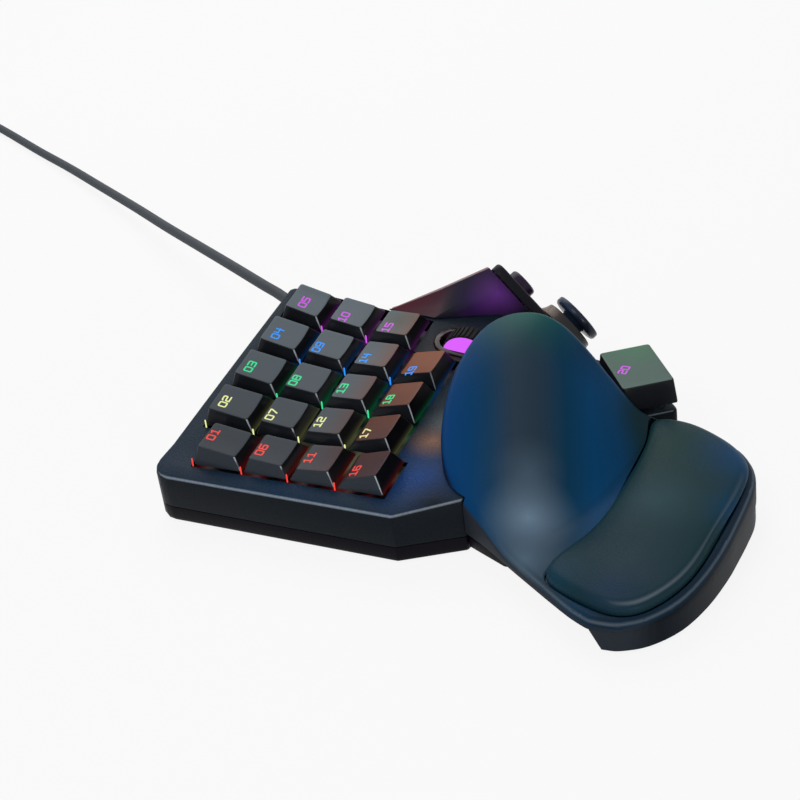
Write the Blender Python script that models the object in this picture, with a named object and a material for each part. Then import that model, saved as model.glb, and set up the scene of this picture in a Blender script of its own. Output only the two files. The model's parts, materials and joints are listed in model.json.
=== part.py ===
"""One-handed gaming keypad with sprung keys, scroll wheel, thumb pad and a sliding palm rest.

Everything is in metres. +X points to the thumb side, +Y away from the palm, +Z up.
The pieces are placed from the centre of key 01's column and row, and the whole part is
then moved so that the origin is the centre of its footprint on the desk.
"""
import math

import bmesh
import bpy
from mathutils import Matrix, Vector

# Fits shared by many pieces
CLEARANCE = 0.0003
OVERRUN = 0.002
WALL = 0.0022
MESH_CELL = 0.0215
BLOCK_HEIGHT = 0.04
EDGE_TURNS = (0, 45, 90)

# Key field
KEY_PITCH = 0.019
ROWS = 4
COLUMNS = 5
COLUMN_STAGGER = 0.0053
CAP_SIZE = 0.018
CAP_WALL = 0.0013
CAP_LIFT = 0.0003
CAP_CORNER_RADIUS = 0.0010
CAP_EDGE_BEVEL = 0.0005
CAP_SIDE_INSET = 0.0022
CAP_FRONT_INSET = 0.0026
CAP_BACK_INSET = 0.0021
CAP_BACK_HEIGHTS = (0.0074, 0.0054, 0.0039, 0.0030)
CAP_FRONT_HEIGHTS = (0.0048, 0.0042, 0.0053, 0.0072)
CAP_BACK_STRETCHES = (0.0020, 0.0028, 0.0021, 0.0014, 0.0002)
WELL_SKEW = (0.0029, 0.0008)
KEY_TRAVEL = 0.0036
KEY_WELL_GAP = 0.0009
PLUNGER_RADIUS = 0.0022
PLUNGER_DEPTH = 0.0087
PLUNGER_SIDES = 8
GUIDE_SIDES = 6

# Deck: its height at the key field's centre line, its rise towards the thumb, and its twist
DECK_HEIGHT = 0.0225
DECK_TILT = math.radians(10)
DECK_TWIST = 1.5
DECK_FLAT_ROW_SHARE = 2.63
DECK_DROOP_SHARE = 0.85
DECK_THICKNESS = 0.002
DECK_EDGE_CHAMFER = 0.0009
DECK_MARGIN_LEFT = 0.0081
DECK_MARGIN_BACK = 0.0055
DECK_MARGIN_RIGHT = 0.0050
BACK_SKEW = 0.0070
DECK_MARGIN_FRONT = 0.0069

# Base footprint
CORNER_CUT_X = 0.0131
CORNER_CUT_Y = 0.0208
FRONT_SKEW = 0.005
POD_WIDTH = 0.0261
POD_STRAIGHT = 0.040
POD_CORNER_X = 0.0085
POD_CORNER_Y = 0.013
BACK_CORNER_RADIUS = 0.008
SMALL_CORNER_RADIUS = 0.002
POD_CORNER_RADIUS = 0.006
CORNER_STEPS = 4
GLAND_CUT_X = 0.0050
GLAND_CUT_Y = 0.0060

# Bottom cover and feet
BASE_UNDERSIDE = 0.0006
BASE_FLOOR = 0.002
SEAM_HEIGHT = 0.007
BASE_EDGE_CHAMFER = 0.0016
FOOT_RADIUS = 0.0055
FOOT_RECESS = 0.0006
FOOT_SIDES = 16
SCREW_HEAD_RADIUS = 0.0026
SCREW_RECESS = 0.0012
SCREW_HEAD_HEIGHT = 0.0009
SCREW_SHANK_RADIUS = 0.0012
SCREW_LENGTH = 0.009
SCREW_SIDES = 10
BOSS_RADIUS = 0.0026
BOARD_THICKNESS = 0.0016
BOARD_PAD_RADIUS = 0.003
BOARD_PAD_HEIGHT = 0.001
BOARD_WIDTH = 0.078
BOARD_LENGTH = 0.050

# Key plate, guides and rubber domes, as depths below the deck surface
PLATE_DEPTH = 0.0044
PLATE_THICKNESS = 0.0015
GUIDE_RADIUS = 0.0034
GUIDE_RISE = 0.0018
GUIDE_DROP = 0.0025
DOME_GAP = 0.0006
DOME_HEIGHT = 0.004
DOME_RADIUS = 0.0038
DOME_BASE_RADIUS = 0.005
DOME_BORE_RADIUS = 0.0027
SHEET_THICKNESS = 0.0012

# Scroll wheel
WHEEL_RADIUS = 0.0115
WHEEL_PROUD = 0.0064
WHEEL_COLUMN_SHIFT = 0.0015
WHEEL_ROW_SHIFT = 0.010
TYRE_WIDTH = 0.0062
TYRE_DEPTH = 0.0016
TYRE_RIBS = 18
TYRE_RIB_HEIGHT = 0.0005
HUB_WIDTH = 0.0086
AXLE_RADIUS = 0.0013
AXLE_OVERHANG = 0.0026
BEZEL_LENGTH = 0.029
BEZEL_WIDTH = 0.0160
BEZEL_RIM = 0.0022
BEZEL_PROUD = 0.0006
BEZEL_DEPTH = 0.0022
CARRIAGE_CHEEK = 0.0014
CARRIAGE_LENGTH = 0.010
CARRIAGE_FLOOR = 0.0014
WHEEL_CLICK = 0.0006
BRACKET_WALL = 0.0016
BRACKET_RISE = 0.003
ENCODER_SIZE = 0.0054
ENCODER_THICKNESS = 0.0022

# Thumb wedge and thumb panel
WEDGE_START_Y = -0.0285
WEDGE_PEAK = (0.09775, -0.0703, 0.0575)
WEDGE_RIDGE_START = (0.0868, 0.0385)
WEDGE_FOOT_PLACES = (0.0857, 0.0857, 0.0905, 0.0966, 0.0966)
WEDGE_SECTION_SHARES = (0.0, 0.46, 0.71, 1.0, 1.75)
WEDGE_MIDDLE_SHARE = 0.42
WEDGE_OUTER_DROP = 0.0085
WEDGE_RIDGE_WIDTH = 0.003
WEDGE_EDGE = 0.0008
WEDGE_SIDE_GAP = 0.0004
WEDGE_WALL = 0.0022
PANEL_NORMAL = Vector((0.6575, -0.5671, 0.4961)).normalized()
PANEL_FALL = Vector((-0.057, -0.695, -0.719))
PANEL_PROUD = 0.0016
PANEL_THICKNESS = 0.0038
PANEL_EDGE_BEVEL = 0.0010
PANEL_TOP_MARGIN = 0.0118
PANEL_LENGTH = 0.0500
PANEL_WIDTH = 0.021
PANEL_CORNER_RADIUS = 0.004
PANEL_EDGE_OFFSET = 0.0105
BUTTON_RADIUS = 0.0057
BUTTON_PROUD = 0.0035
BUTTON_TRAVEL = 0.0008
BUTTON_FLANGE_RADIUS = 0.0072
BUTTON_FLANGE_THICKNESS = 0.001
PAD_SPACING = 0.0239
PAD_RADIUS = 0.0101
PAD_THICKNESS = 0.0017
PAD_HEIGHT = 0.0098
PAD_DISH = 0.0006
COLLAR_RADIUS = 0.0121
COLLAR_TOP_RADIUS = 0.0106
COLLAR_BORE = 0.0062
COLLAR_HEIGHT = 0.0048
GIMBAL_RADIUS = 0.0057
GIMBAL_BORE = 0.0034
GIMBAL_THICKNESS = 0.0022
GIMBAL_HEIGHT = 0.0026
STEM_RADIUS = 0.0029
STEM_DROP = 0.003
PAD_TILT = 6
PAD_SIDES = 20

# Thumb key and its housing
THUMB_KEY_X = 0.0785
THUMB_KEY_Y = -0.1312
THUMB_KEY_ANGLE = math.radians(37.0)
THUMB_KEY_LENGTH = 0.0305
THUMB_KEY_WIDTH = 0.0205
THUMB_KEY_TOP = 0.0324
THUMB_KEY_HEIGHT = 0.0092
THUMB_KEY_INSET = 0.0008
THUMB_KEY_TRAVEL = 0.0022
THUMB_KEY_PLUNGER_RADIUS = 0.003
THUMB_KEY_PLUNGER_LENGTH = 0.011
THUMB_KEY_MARGIN = 0.0
THUMB_CORNER_INSET = 0.002
THUMB_LEDGE_HEIGHT = 0.0204
THUMB_GUIDE_RADIUS = 0.0052
THUMB_BOARD_END_GAP = 0.00425
THUMB_BOARD_LENGTH = 0.0105
THUMB_SWITCH_RADIUS = 0.0028
THUMB_SWITCH_GAP = 0.0004

# Palm rest
PALM_WIDTH = 0.1002
PALM_LENGTH = 0.1065
PALM_BACK = -0.080
PALM_SIDE_GAP = 0.0010
PALM_UNDERSIDE = 0.009
PALM_WALL = 0.0026
PALM_EDGE_RADIUS = 0.0034
PALM_CELL = 0.0135
PALM_LOW_RIM = 0.012
PALM_RIM_RISE = 0.0085
DOME_RISE = 0.0405
DOME_CENTRE_SHARES = (0.03, 0.20)
DOME_REACH_SHARES = (0.80, 0.47)
DOME_BACK_REACH_SHARE = 0.65
PALM_DECK_GAP = 0.0007
PALM_SLIDE = 0.012
PALM_FOOT_START_SHARE = 0.715
PALM_FOOT_FULL_SHARE = 0.755
PALM_FOOT_WIDTH = 0.007
PALM_FOOT_PAD_THICKNESS = 0.0012
PAD_POCKET_DEPTH = 0.0014
PAD_CROWN = 0.0042
PAD_EDGE_RADIUS = 0.0026
CUSHION_RINGS_SHARES = (0.97, 0.86, 0.66, 0.40)
PALM_OUTLINE_SHARES = (
    (0.000, 0.110), (-0.016, 0.200), (-0.020, 0.300), (-0.008, 0.390), (0.000, 0.480), (0.000, 0.550),
    (-0.030, 0.605), (-0.055, 0.655), (-0.040, 0.725), (0.000, 0.810), (0.050, 0.905), (0.135, 0.972),
    (0.230, 1.000), (0.330, 1.006), (0.440, 1.006), (0.549, 1.003), (0.699, 0.986), (0.838, 0.948),
    (0.940, 0.883), (0.990, 0.812), (1.000, 0.765), (1.000, 0.730), (0.995, 0.705), (0.962, 0.640), (0.910, 0.563),
    (0.850, 0.478), (0.790, 0.394), (0.700, 0.272), (0.632, 0.169), (0.550, 0.085), (0.439, 0.028),
    (0.299, 0.000), (0.150, 0.005), (0.045, 0.042),
)
PAD_OUTLINE_SHARES = (
    (0.006, 0.592), (0.110, 0.610), (0.210, 0.616), (0.345, 0.618), (0.479, 0.614),
    (0.580, 0.602), (0.659, 0.582), (0.730, 0.552), (0.788, 0.531), (0.858, 0.535),
    (0.908, 0.610), (0.950, 0.723), (0.956, 0.798), (0.918, 0.864), (0.812, 0.926),
    (0.679, 0.960), (0.479, 0.972), (0.279, 0.970), (0.165, 0.944), (0.085, 0.880),
    (0.025, 0.785), (-0.012, 0.700), (-0.016, 0.640),
)

# Rails that carry the palm rest, and the runners that ride on them
RAIL_WIDTH = 0.009
RAIL_THICKNESS = 0.0032
RAIL_LENGTH = 0.048
RAIL_ROOT = 0.010
RAIL_UNDERSIDE = 0.0072
RAIL_OFFSETS = (0.0160, 0.0461)
RUNNER_WALL = 0.0018
MOUNT_UNDERSIDE = 0.0026
MOUNT_REACH = 0.0138
MOUNT_SPREAD = 0.0085
RUNNER_LENGTH = 0.012
RUNNER_GAP = 0.0021
RAIL_GAP = 0.0003

# Cord, with its gland, coil and plug
CORD_RADIUS = 0.0024
GLAND_RADIUS = 0.0038
GLAND_TIP_RADIUS = 0.0032
GLAND_LENGTH = 0.0125
GLAND_NECK_RADIUS = 0.0026
GLAND_HEAD_RADIUS = 0.0034
GLAND_HEAD_THICKNESS = 0.0015
GLAND_HEIGHT = 0.0215
GLAND_SIDES = 16
CORD_ROUTE = (
    (0.1060, 0.0275, 0.0216), (0.1174, 0.0397, 0.0214), (0.1297, 0.0598, 0.0206), (0.1485, 0.0886, 0.0184),
    (0.1688, 0.1188, 0.0153), (0.1933, 0.1550, 0.0114), (0.2193, 0.1933, 0.0079), (0.2464, 0.2361, 0.0052),
    (0.2697, 0.2744, 0.0036), (0.2909, 0.3124, 0.0028), (0.3218, 0.3675, 0.0025), (0.3500, 0.4230, 0.0025),
    (0.3740, 0.4760, 0.0025),
)
CORD_STEP = 0.011
COIL_MEAN_RADIUS = 0.0275
COIL_TURNS_PER_LAYER = 4
COIL_TURN_POINTS = 24
COIL_GAP = 0.0008
PLUG_BODY_LENGTH = 0.024
PLUG_BODY_WIDTH = 0.0155
PLUG_BODY_HEIGHT = 0.0078
PLUG_SHELL_LENGTH = 0.0125
PLUG_SHELL_WIDTH = 0.012
PLUG_SHELL_HEIGHT = 0.0045
PLUG_RELIEF_LENGTH = 0.010
PLUG_BEVEL = 0.0015
PLUG_LEAD = 0.040
PLUG_LEAD_POINTS = 6
FREE_CORD = ("cable_lead", "cable_coil", "usb_")

# Sizes worked out from the ones above
KEY_SPAN_X = KEY_PITCH * math.cos(DECK_TILT)
FIELD_LEFT = -CAP_SIZE / 2
FIELD_RIGHT = (COLUMNS - 1) * KEY_SPAN_X + CAP_SIZE / 2
FIELD_BACK = CAP_SIZE / 2
FIELD_FRONT = -(ROWS - 1) * KEY_PITCH - COLUMN_STAGGER - CAP_SIZE / 2
BASE_LEFT = FIELD_LEFT - DECK_MARGIN_LEFT
BASE_BACK = FIELD_BACK + DECK_MARGIN_BACK
BASE_FRONT = FIELD_FRONT - DECK_MARGIN_FRONT
BASE_RIGHT = FIELD_RIGHT + POD_WIDTH
BACK_RIGHT = FIELD_RIGHT + DECK_MARGIN_RIGHT
FLAT_Y = -DECK_FLAT_ROW_SHARE * KEY_PITCH
THUMB_BOARD_WIDTH = THUMB_KEY_LENGTH - 2 * THUMB_BOARD_END_GAP


def turned(x, y, angle):
    """A point of the plan turned about the origin."""
    return (x * math.cos(angle) - y * math.sin(angle), x * math.sin(angle) + y * math.cos(angle))


def thumb_key_corner(side_x, side_y, margin):
    """A corner of the thumb key's outline in plan, grown by a margin."""
    x, y = turned(side_x * (THUMB_KEY_LENGTH / 2 + margin),
                  side_y * (THUMB_KEY_WIDTH / 2 + margin), THUMB_KEY_ANGLE)
    return (THUMB_KEY_X + x, THUMB_KEY_Y + y)


POD_LEFT = thumb_key_corner(-1, 1, THUMB_KEY_MARGIN)[0]
PALM_RIGHT = POD_LEFT - PALM_SIDE_GAP
PALM_LEFT = PALM_RIGHT - PALM_WIDTH
PALM_FRONT = PALM_BACK - PALM_LENGTH
BODY_FRONT = BASE_FRONT - CORNER_CUT_Y
POD_BACK = BODY_FRONT - FRONT_SKEW
PANEL_SIDE = PANEL_NORMAL.cross(PANEL_FALL.normalized()).normalized()
PANEL_DOWN = PANEL_SIDE.cross(PANEL_NORMAL).normalized()
PEAK = Vector(WEDGE_PEAK)


def deck_z(x, y):
    """Height of the deck surface: it rises towards the thumb and twists along Y."""
    return DECK_HEIGHT + x * math.tan(DECK_TILT) + DECK_TWIST * max(x, 0) * (y - FLAT_Y)


def cover_z(x, y):
    """Height of the upper cover: the deck, with its rim beyond the last column falling away."""
    start, end = WEDGE_START_Y, WEDGE_START_Y + (PEAK.y - WEDGE_START_Y) * WEDGE_SECTION_SHARES[1]
    weight = min(max((y - end) / (start - end), 0), 1)
    return deck_z(x, y) - DECK_DROOP_SHARE * weight * max(x - FIELD_RIGHT - KEY_WELL_GAP, 0)


def crease_lines():
    """Places along X and Y where the cover's surface changes its slope."""
    end = WEDGE_START_Y + (PEAK.y - WEDGE_START_Y) * WEDGE_SECTION_SHARES[1]
    return ((FIELD_RIGHT + KEY_WELL_GAP,), (WEDGE_START_Y, end))


def deck_frame(x, y):
    """Matrix at a point of the deck with Z along the deck's normal."""
    slope_x = math.tan(DECK_TILT) + (DECK_TWIST * (y - FLAT_Y) if x > 0 else 0)
    slope_y = DECK_TWIST * max(x, 0)
    normal = Vector((-slope_x, -slope_y, 1)).normalized()
    along_y = Vector((0, 1, slope_y))
    along_x = along_y.cross(normal).normalized()
    along_y = normal.cross(along_x).normalized()
    turn = Matrix((along_x, along_y, normal)).transposed().to_4x4()
    return Matrix.Translation((x, y, deck_z(x, y))) @ turn


def key_place(row, column):
    """Plan position of a key's centre."""
    stagger = COLUMN_STAGGER if column == 0 else 0
    return (column * KEY_SPAN_X, -row * KEY_PITCH - stagger)


def key_cells():
    """Row and column of each key of the field; the wheel takes the last cell."""
    return [(row, column) for row in range(ROWS) for column in range(COLUMNS)
            if (row, column) != (ROWS - 1, COLUMNS - 1)]


# Scene and materials

def clear_scene():
    for item in list(bpy.data.objects):
        bpy.data.objects.remove(item, do_unlink=True)


def make_collection(name):
    collection = bpy.data.collections.new(name)
    bpy.context.scene.collection.children.link(collection)
    return collection


def make_material(name, colour, roughness, metallic=0.0):
    material = bpy.data.materials.new(name)
    material.use_nodes = True
    shader = material.node_tree.nodes["Principled BSDF"]
    shader.inputs["Base Color"].default_value = (*colour, 1)
    shader.inputs["Roughness"].default_value = roughness
    shader.inputs["Metallic"].default_value = metallic
    return material


clear_scene()
PARTS = make_collection("gaming_keypad")
CUTTERS = make_collection("cutters")
MATERIALS = {
    "cap": make_material("key_cap_plastic", (0.045, 0.048, 0.052), 0.38),
    "deck": make_material("deck_plastic", (0.030, 0.033, 0.040), 0.42),
    "base": make_material("base_plastic", (0.012, 0.012, 0.014), 0.50),
    "gloss": make_material("gloss_plastic", (0.010, 0.010, 0.012), 0.12),
    "soft": make_material("soft_touch_plastic", (0.025, 0.028, 0.032), 0.48),
    "leather": make_material("leatherette", (0.022, 0.026, 0.026), 0.55),
    "rubber": make_material("rubber", (0.020, 0.020, 0.020), 0.80),
    "dome": make_material("dome_rubber", (0.550, 0.550, 0.530), 0.60),
    "light": make_material("lit_plastic", (0.620, 0.120, 0.900), 0.30),
    "steel": make_material("steel", (0.600, 0.610, 0.630), 0.30, 1.0),
    "board": make_material("circuit_board", (0.020, 0.110, 0.050), 0.50),
    "cord": make_material("braided_cord", (0.020, 0.020, 0.022), 0.70),
}


def add_object(name, mesh, material=None, cutter=False):
    item = bpy.data.objects.new(name, mesh)
    if cutter:
        CUTTERS.objects.link(item)
        item.display_type = "WIRE"
        item.hide_render = True
    else:
        PARTS.objects.link(item)
        mesh.materials.append(MATERIALS[material])
    return item


def finish_mesh(name, bm):
    bmesh.ops.recalc_face_normals(bm, faces=bm.faces)
    mesh = bpy.data.meshes.new(name)
    bm.to_mesh(mesh)
    bm.free()
    return mesh


def merge(bm, piece, matrix=None):
    """Add a finished mesh to a bmesh, moved by a matrix."""
    part = bmesh.new()
    part.from_mesh(piece)
    if matrix is not None:
        bmesh.ops.transform(part, matrix=matrix, verts=part.verts)
    moved = bpy.data.meshes.new(piece.name)
    part.to_mesh(moved)
    part.free()
    bm.from_mesh(moved)
    bpy.data.meshes.remove(moved)


def joined(name, pieces):
    """One mesh from several (mesh, matrix) pairs."""
    bm = bmesh.new()
    for piece, matrix in pieces:
        merge(bm, piece, matrix)
    mesh = bpy.data.meshes.new(name)
    bm.to_mesh(mesh)
    bm.free()
    return mesh


def add_boolean(item, other, operation="DIFFERENCE"):
    modifier = item.modifiers.new(operation.lower(), "BOOLEAN")
    modifier.operation = operation
    modifier.object = other
    modifier.solver = "EXACT"
    return modifier


# Shapes

def rounded(corners):
    """Outline through (x, y, radius) corners, each rounded by an arc."""
    points = []
    count = len(corners)
    for index, (x, y, radius) in enumerate(corners):
        here = Vector((x, y))
        before = Vector(corners[index - 1][:2]) - here
        after = Vector(corners[(index + 1) % count][:2]) - here
        if radius <= 0:
            points.append((x, y))
            continue
        half = before.angle(after) / 2
        reach = radius / math.tan(half)
        start = here + before.normalized() * reach
        end = here + after.normalized() * reach
        centre = here + (before.normalized() + after.normalized()).normalized() * radius / math.sin(half)
        first = start - centre
        turn = first.angle_signed(end - centre)
        for step in range(CORNER_STEPS + 1):
            spoke = first.copy()
            spoke.rotate(Matrix.Rotation(-turn * step / CORNER_STEPS, 2))
            points.append(tuple(centre + spoke))
    return points


def winding(points):
    """1 for an outline that runs counter-clockwise, else -1."""
    following = points[1:] + points[:1]
    area = sum(a[0] * b[1] - b[0] * a[1] for a, b in zip(points, following))
    return 1 if area > 0 else -1


def inset(corners, distance):
    """Corners moved inwards by a distance, with their radii kept concentric."""
    plain = [corner[:2] for corner in corners]
    side = winding(plain)
    moved = []
    for index, (x, y) in enumerate(offset_outline(plain, distance)):
        here = Vector(plain[index])
        first = here - Vector(plain[index - 1])
        second = Vector(plain[(index + 1) % len(plain)]) - here
        outward = 1 if side * first.cross(second) > 0 else -1
        radius = corners[index][2]
        moved.append((x, y, max(radius - outward * distance, CLEARANCE) if radius else 0))
    return moved


def offset_outline(points, distance):
    """Outline moved inwards by a distance, for outlines that run clockwise or not."""
    count = len(points)
    side = winding(points)
    moved = []
    for index in range(count):
        here = Vector(points[index])
        first = (here - Vector(points[index - 1])).normalized()
        second = (Vector(points[(index + 1) % count]) - here).normalized()
        first_normal = Vector((-first.y, first.x)) * side
        second_normal = Vector((-second.y, second.x)) * side
        middle = (first_normal + second_normal).normalized()
        moved.append(tuple(here + middle * distance / max(middle.dot(first_normal), 0.3)))
    return moved


def sharp(points):
    """Corners without a radius."""
    return [(x, y, 0) for x, y in points]


def skin(bm, rings):
    """Faces between rings of vertices, and a cap at each end."""
    for low, high in zip(rings, rings[1:]):
        for index in range(len(low)):
            nxt = (index + 1) % len(low)
            bm.faces.new((low[index], low[nxt], high[nxt], high[index]))
    bm.faces.new(rings[0])
    bm.faces.new(rings[-1])


def block(name, corners, low, high, top_chamfer=0.0, bottom_chamfer=0.0, cell=MESH_CELL,
          creases=((), ())):
    """Closed solid over corners between two heights, each a number or a function of x and y."""
    low_at = low if callable(low) else lambda x, y: low
    high_at = high if callable(high) else lambda x, y: high
    tall = BLOCK_HEIGHT
    turns = [math.radians(angle) for angle in EDGE_TURNS]
    levels = [(0, 0)]
    if bottom_chamfer:
        levels = [(bottom_chamfer * (1 - math.sin(t)), bottom_chamfer * (1 - math.cos(t))) for t in turns]
    if top_chamfer:
        levels += [(top_chamfer * (1 - math.cos(t)), tall - top_chamfer * (1 - math.sin(t))) for t in turns]
    else:
        levels += [(0, tall)]
    bm = bmesh.new()
    rings = []
    for drawn_in, z in levels:
        ring = rounded(inset(corners, drawn_in) if drawn_in else corners)
        rings.append([bm.verts.new((x, y, z)) for x, y in ring])
    skin(bm, rings)
    outline = rounded(corners)
    if cell:
        for axis in (0, 1):
            values = [p[axis] for p in outline]
            start = math.floor(min(values) / cell) + 1
            places = [line * cell for line in range(start, math.ceil(max(values) / cell))]
            for at in places + list(creases[axis]):
                point = Vector((0, 0, 0))
                point[axis] = at
                normal = Vector((0, 0, 0))
                normal[axis] = 1
                bmesh.ops.bisect_plane(bm, geom=bm.verts[:] + bm.edges[:] + bm.faces[:],
                                       plane_co=point, plane_no=normal, dist=CLEARANCE / 100)
    for vert in bm.verts:
        x, y, z = vert.co
        vert.co.z = high_at(x, y) + z - tall if z > tall / 2 else low_at(x, y) + z
    if cell:
        bmesh.ops.triangulate(bm, faces=bm.faces)
    return finish_mesh(name, bm)


def rod(name, radius, low, high, sides, top_radius=None, top_chamfer=0.0):
    """Round bar along Z from low to high, tapered when top_radius is given."""
    bm = bmesh.new()
    bmesh.ops.create_cone(bm, cap_ends=True, segments=sides, radius1=radius,
                          radius2=radius if top_radius is None else top_radius, depth=high - low)
    bmesh.ops.translate(bm, vec=(0, 0, (high + low) / 2), verts=bm.verts)
    if top_chamfer:
        rim = [e for e in bm.edges if all(v.co.z > high - CLEARANCE / 10 for v in e.verts)]
        bmesh.ops.bevel(bm, geom=rim, offset=top_chamfer, segments=2, profile=0.5, affect="EDGES")
    return finish_mesh(name, bm)


def box(name, low, high, bevel=0.0):
    """Axis-aligned box between two corners."""
    bm = bmesh.new()
    bmesh.ops.create_cube(bm, size=1)
    size = Vector(high) - Vector(low)
    bmesh.ops.scale(bm, vec=size, verts=bm.verts)
    bmesh.ops.translate(bm, vec=(Vector(high) + Vector(low)) / 2, verts=bm.verts)
    if bevel:
        bmesh.ops.bevel(bm, geom=bm.edges[:], offset=bevel, segments=2, profile=0.5, affect="EDGES")
    return finish_mesh(name, bm)


def turned_ring(name, profile, sides):
    """Solid of revolution about Z from a closed (radius, height) profile."""
    bm = bmesh.new()
    rings = []
    for step in range(sides):
        angle = math.tau * step / sides
        rings.append([bm.verts.new((r * math.cos(angle), r * math.sin(angle), z)) for r, z in profile])
    for step in range(sides):
        here, after = rings[step], rings[(step + 1) % sides]
        for index in range(len(profile)):
            nxt = (index + 1) % len(profile)
            bm.faces.new((here[index], after[index], after[nxt], here[nxt]))
    return finish_mesh(name, bm)


def loft(name, rings):
    """Closed solid through rings of the same number of points, capped at both ends."""
    bm = bmesh.new()
    skin(bm, [[bm.verts.new(p) for p in ring] for ring in rings])
    return finish_mesh(name, bm)


# Footprint of the base

def footprint():
    """Corners shared by the base and its upper cover, from the back left one round the thumb side."""
    return [
        (BASE_LEFT, BASE_BACK + BACK_SKEW, BACK_CORNER_RADIUS),
        (BACK_RIGHT - GLAND_CUT_X, BASE_BACK, SMALL_CORNER_RADIUS),
        (BACK_RIGHT, BASE_BACK - GLAND_CUT_Y, SMALL_CORNER_RADIUS),
        (BACK_RIGHT, WEDGE_START_Y, SMALL_CORNER_RADIUS),
        (BASE_RIGHT, BODY_FRONT + POD_STRAIGHT, POD_CORNER_RADIUS),
        (BASE_RIGHT, BODY_FRONT + POD_CORNER_Y, POD_CORNER_RADIUS),
        (BASE_RIGHT - POD_CORNER_X, POD_BACK, 0),
    ]


def base_corners():
    """The whole base, with the pod of the thumb key."""
    return footprint() + [
        (*thumb_key_corner(1, -1, -THUMB_CORNER_INSET), SMALL_CORNER_RADIUS),
        (*thumb_key_corner(-1, -1, THUMB_KEY_MARGIN), SMALL_CORNER_RADIUS),
        (*thumb_key_corner(-1, 1, THUMB_KEY_MARGIN), SMALL_CORNER_RADIUS),
        (POD_LEFT, POD_BACK, 0),
        (BASE_LEFT + CORNER_CUT_X, BODY_FRONT, SMALL_CORNER_RADIUS),
        (BASE_LEFT, BASE_FRONT, SMALL_CORNER_RADIUS),
    ]


def deck_corners():
    """The upper cover, which ends where the thumb key's pod begins."""
    return footprint() + [
        (POD_LEFT, POD_BACK, 0),
        (BASE_LEFT + CORNER_CUT_X, BODY_FRONT, SMALL_CORNER_RADIUS),
        (BASE_LEFT, BASE_FRONT, SMALL_CORNER_RADIUS),
    ]


def pod_corners():
    """The housing below the thumb key."""
    return [
        (BASE_RIGHT - POD_CORNER_X, POD_BACK - CLEARANCE, 0),
        (*thumb_key_corner(1, -1, -THUMB_CORNER_INSET), SMALL_CORNER_RADIUS),
        (*thumb_key_corner(-1, -1, THUMB_KEY_MARGIN), SMALL_CORNER_RADIUS),
        (*thumb_key_corner(-1, 1, THUMB_KEY_MARGIN), SMALL_CORNER_RADIUS),
        (POD_LEFT, POD_BACK - CLEARANCE, 0),
    ]


def well_outline(gap):
    """The opening round the key field; it steps at the staggered column and at the wheel."""
    step_x = KEY_SPAN_X / 2
    wheel_x = (COLUMNS - 2) * KEY_SPAN_X + CAP_SIZE / 2 + gap
    wheel_y = -(ROWS - 2) * KEY_PITCH - CAP_SIZE / 2 - gap
    last_y = -(ROWS - 1) * KEY_PITCH - CAP_SIZE / 2 - gap
    return [
        (FIELD_LEFT - gap, FIELD_BACK - COLUMN_STAGGER + CAP_BACK_STRETCHES[0] + gap),
        (step_x, FIELD_BACK - COLUMN_STAGGER + CAP_BACK_STRETCHES[0] + gap),
        (step_x, FIELD_BACK + WELL_SKEW[0] + gap),
        (FIELD_RIGHT + gap, FIELD_BACK + WELL_SKEW[1] + gap),
        (FIELD_RIGHT + gap, wheel_y),
        (wheel_x, wheel_y),
        (wheel_x, last_y),
        (step_x, last_y),
        (step_x, FIELD_FRONT - gap),
        (FIELD_LEFT - gap, FIELD_FRONT - gap),
    ]


def plate_outline():
    """Key plate and dome sheet, held between the walls of the upper cover."""
    left = BASE_LEFT + WALL + CLEARANCE
    right = FIELD_RIGHT - CLEARANCE
    back = FIELD_BACK - CLEARANCE
    wheel_x = (COLUMNS - 2) * KEY_SPAN_X + CAP_SIZE / 2 + KEY_WELL_GAP
    wheel_y = -(ROWS - 2) * KEY_PITCH - CAP_SIZE / 2 - KEY_WELL_GAP
    front = FIELD_FRONT - KEY_WELL_GAP
    return [(left, back), (right, back), (right, wheel_y), (wheel_x, wheel_y), (wheel_x, front), (left, front)]


def boss_places():
    """Plan positions of the four base screws."""
    inner = WALL + BOSS_RADIUS
    return [
        (FIELD_LEFT, FIELD_BACK + KEY_WELL_GAP + inner),
        (BASE_LEFT + CORNER_CUT_X + inner + WALL, BODY_FRONT + inner + WALL),
        (POD_LEFT - inner, POD_BACK + inner + WALL),
        (BASE_RIGHT - inner - WALL, BODY_FRONT + POD_STRAIGHT),
    ]


# Thumb panel's half-space, cut from everything below it

def panel_matrix(down=0.0, side=0.0, height=0.0):
    """Matrix on the thumb panel's surface: X down the slope, Y across it, Z out of it."""
    turn = Matrix((PANEL_DOWN, PANEL_SIDE, PANEL_NORMAL)).transposed().to_4x4()
    spot = PEAK + PANEL_DOWN * down + PANEL_SIDE * side + PANEL_NORMAL * (PANEL_PROUD + height)
    return Matrix.Translation(spot) @ turn


def panel_space(name, depth, down=PALM_LENGTH):
    """A thick slab above the panel's plane, lowered by a depth and ending some way down the slope."""
    reach = PALM_LENGTH
    slab = box(name, (-reach, -reach, -depth), (down, reach, reach))
    cutter = add_object(name, slab, cutter=True)
    cutter.matrix_world = panel_matrix()
    return cutter


def button_space(name):
    """Room for the mode button's flange and travel behind the panel."""
    low = -PANEL_THICKNESS - BUTTON_FLANGE_THICKNESS - BUTTON_TRAVEL - CLEARANCE * 3
    return place(add_object(name, rod(name, BUTTON_FLANGE_RADIUS + CLEARANCE * 2, low, 0, GLAND_SIDES), cutter=True),
                 button_matrix())


def place(item, matrix):
    item.matrix_world = matrix
    return item


# Base shells# Base shells

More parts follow.
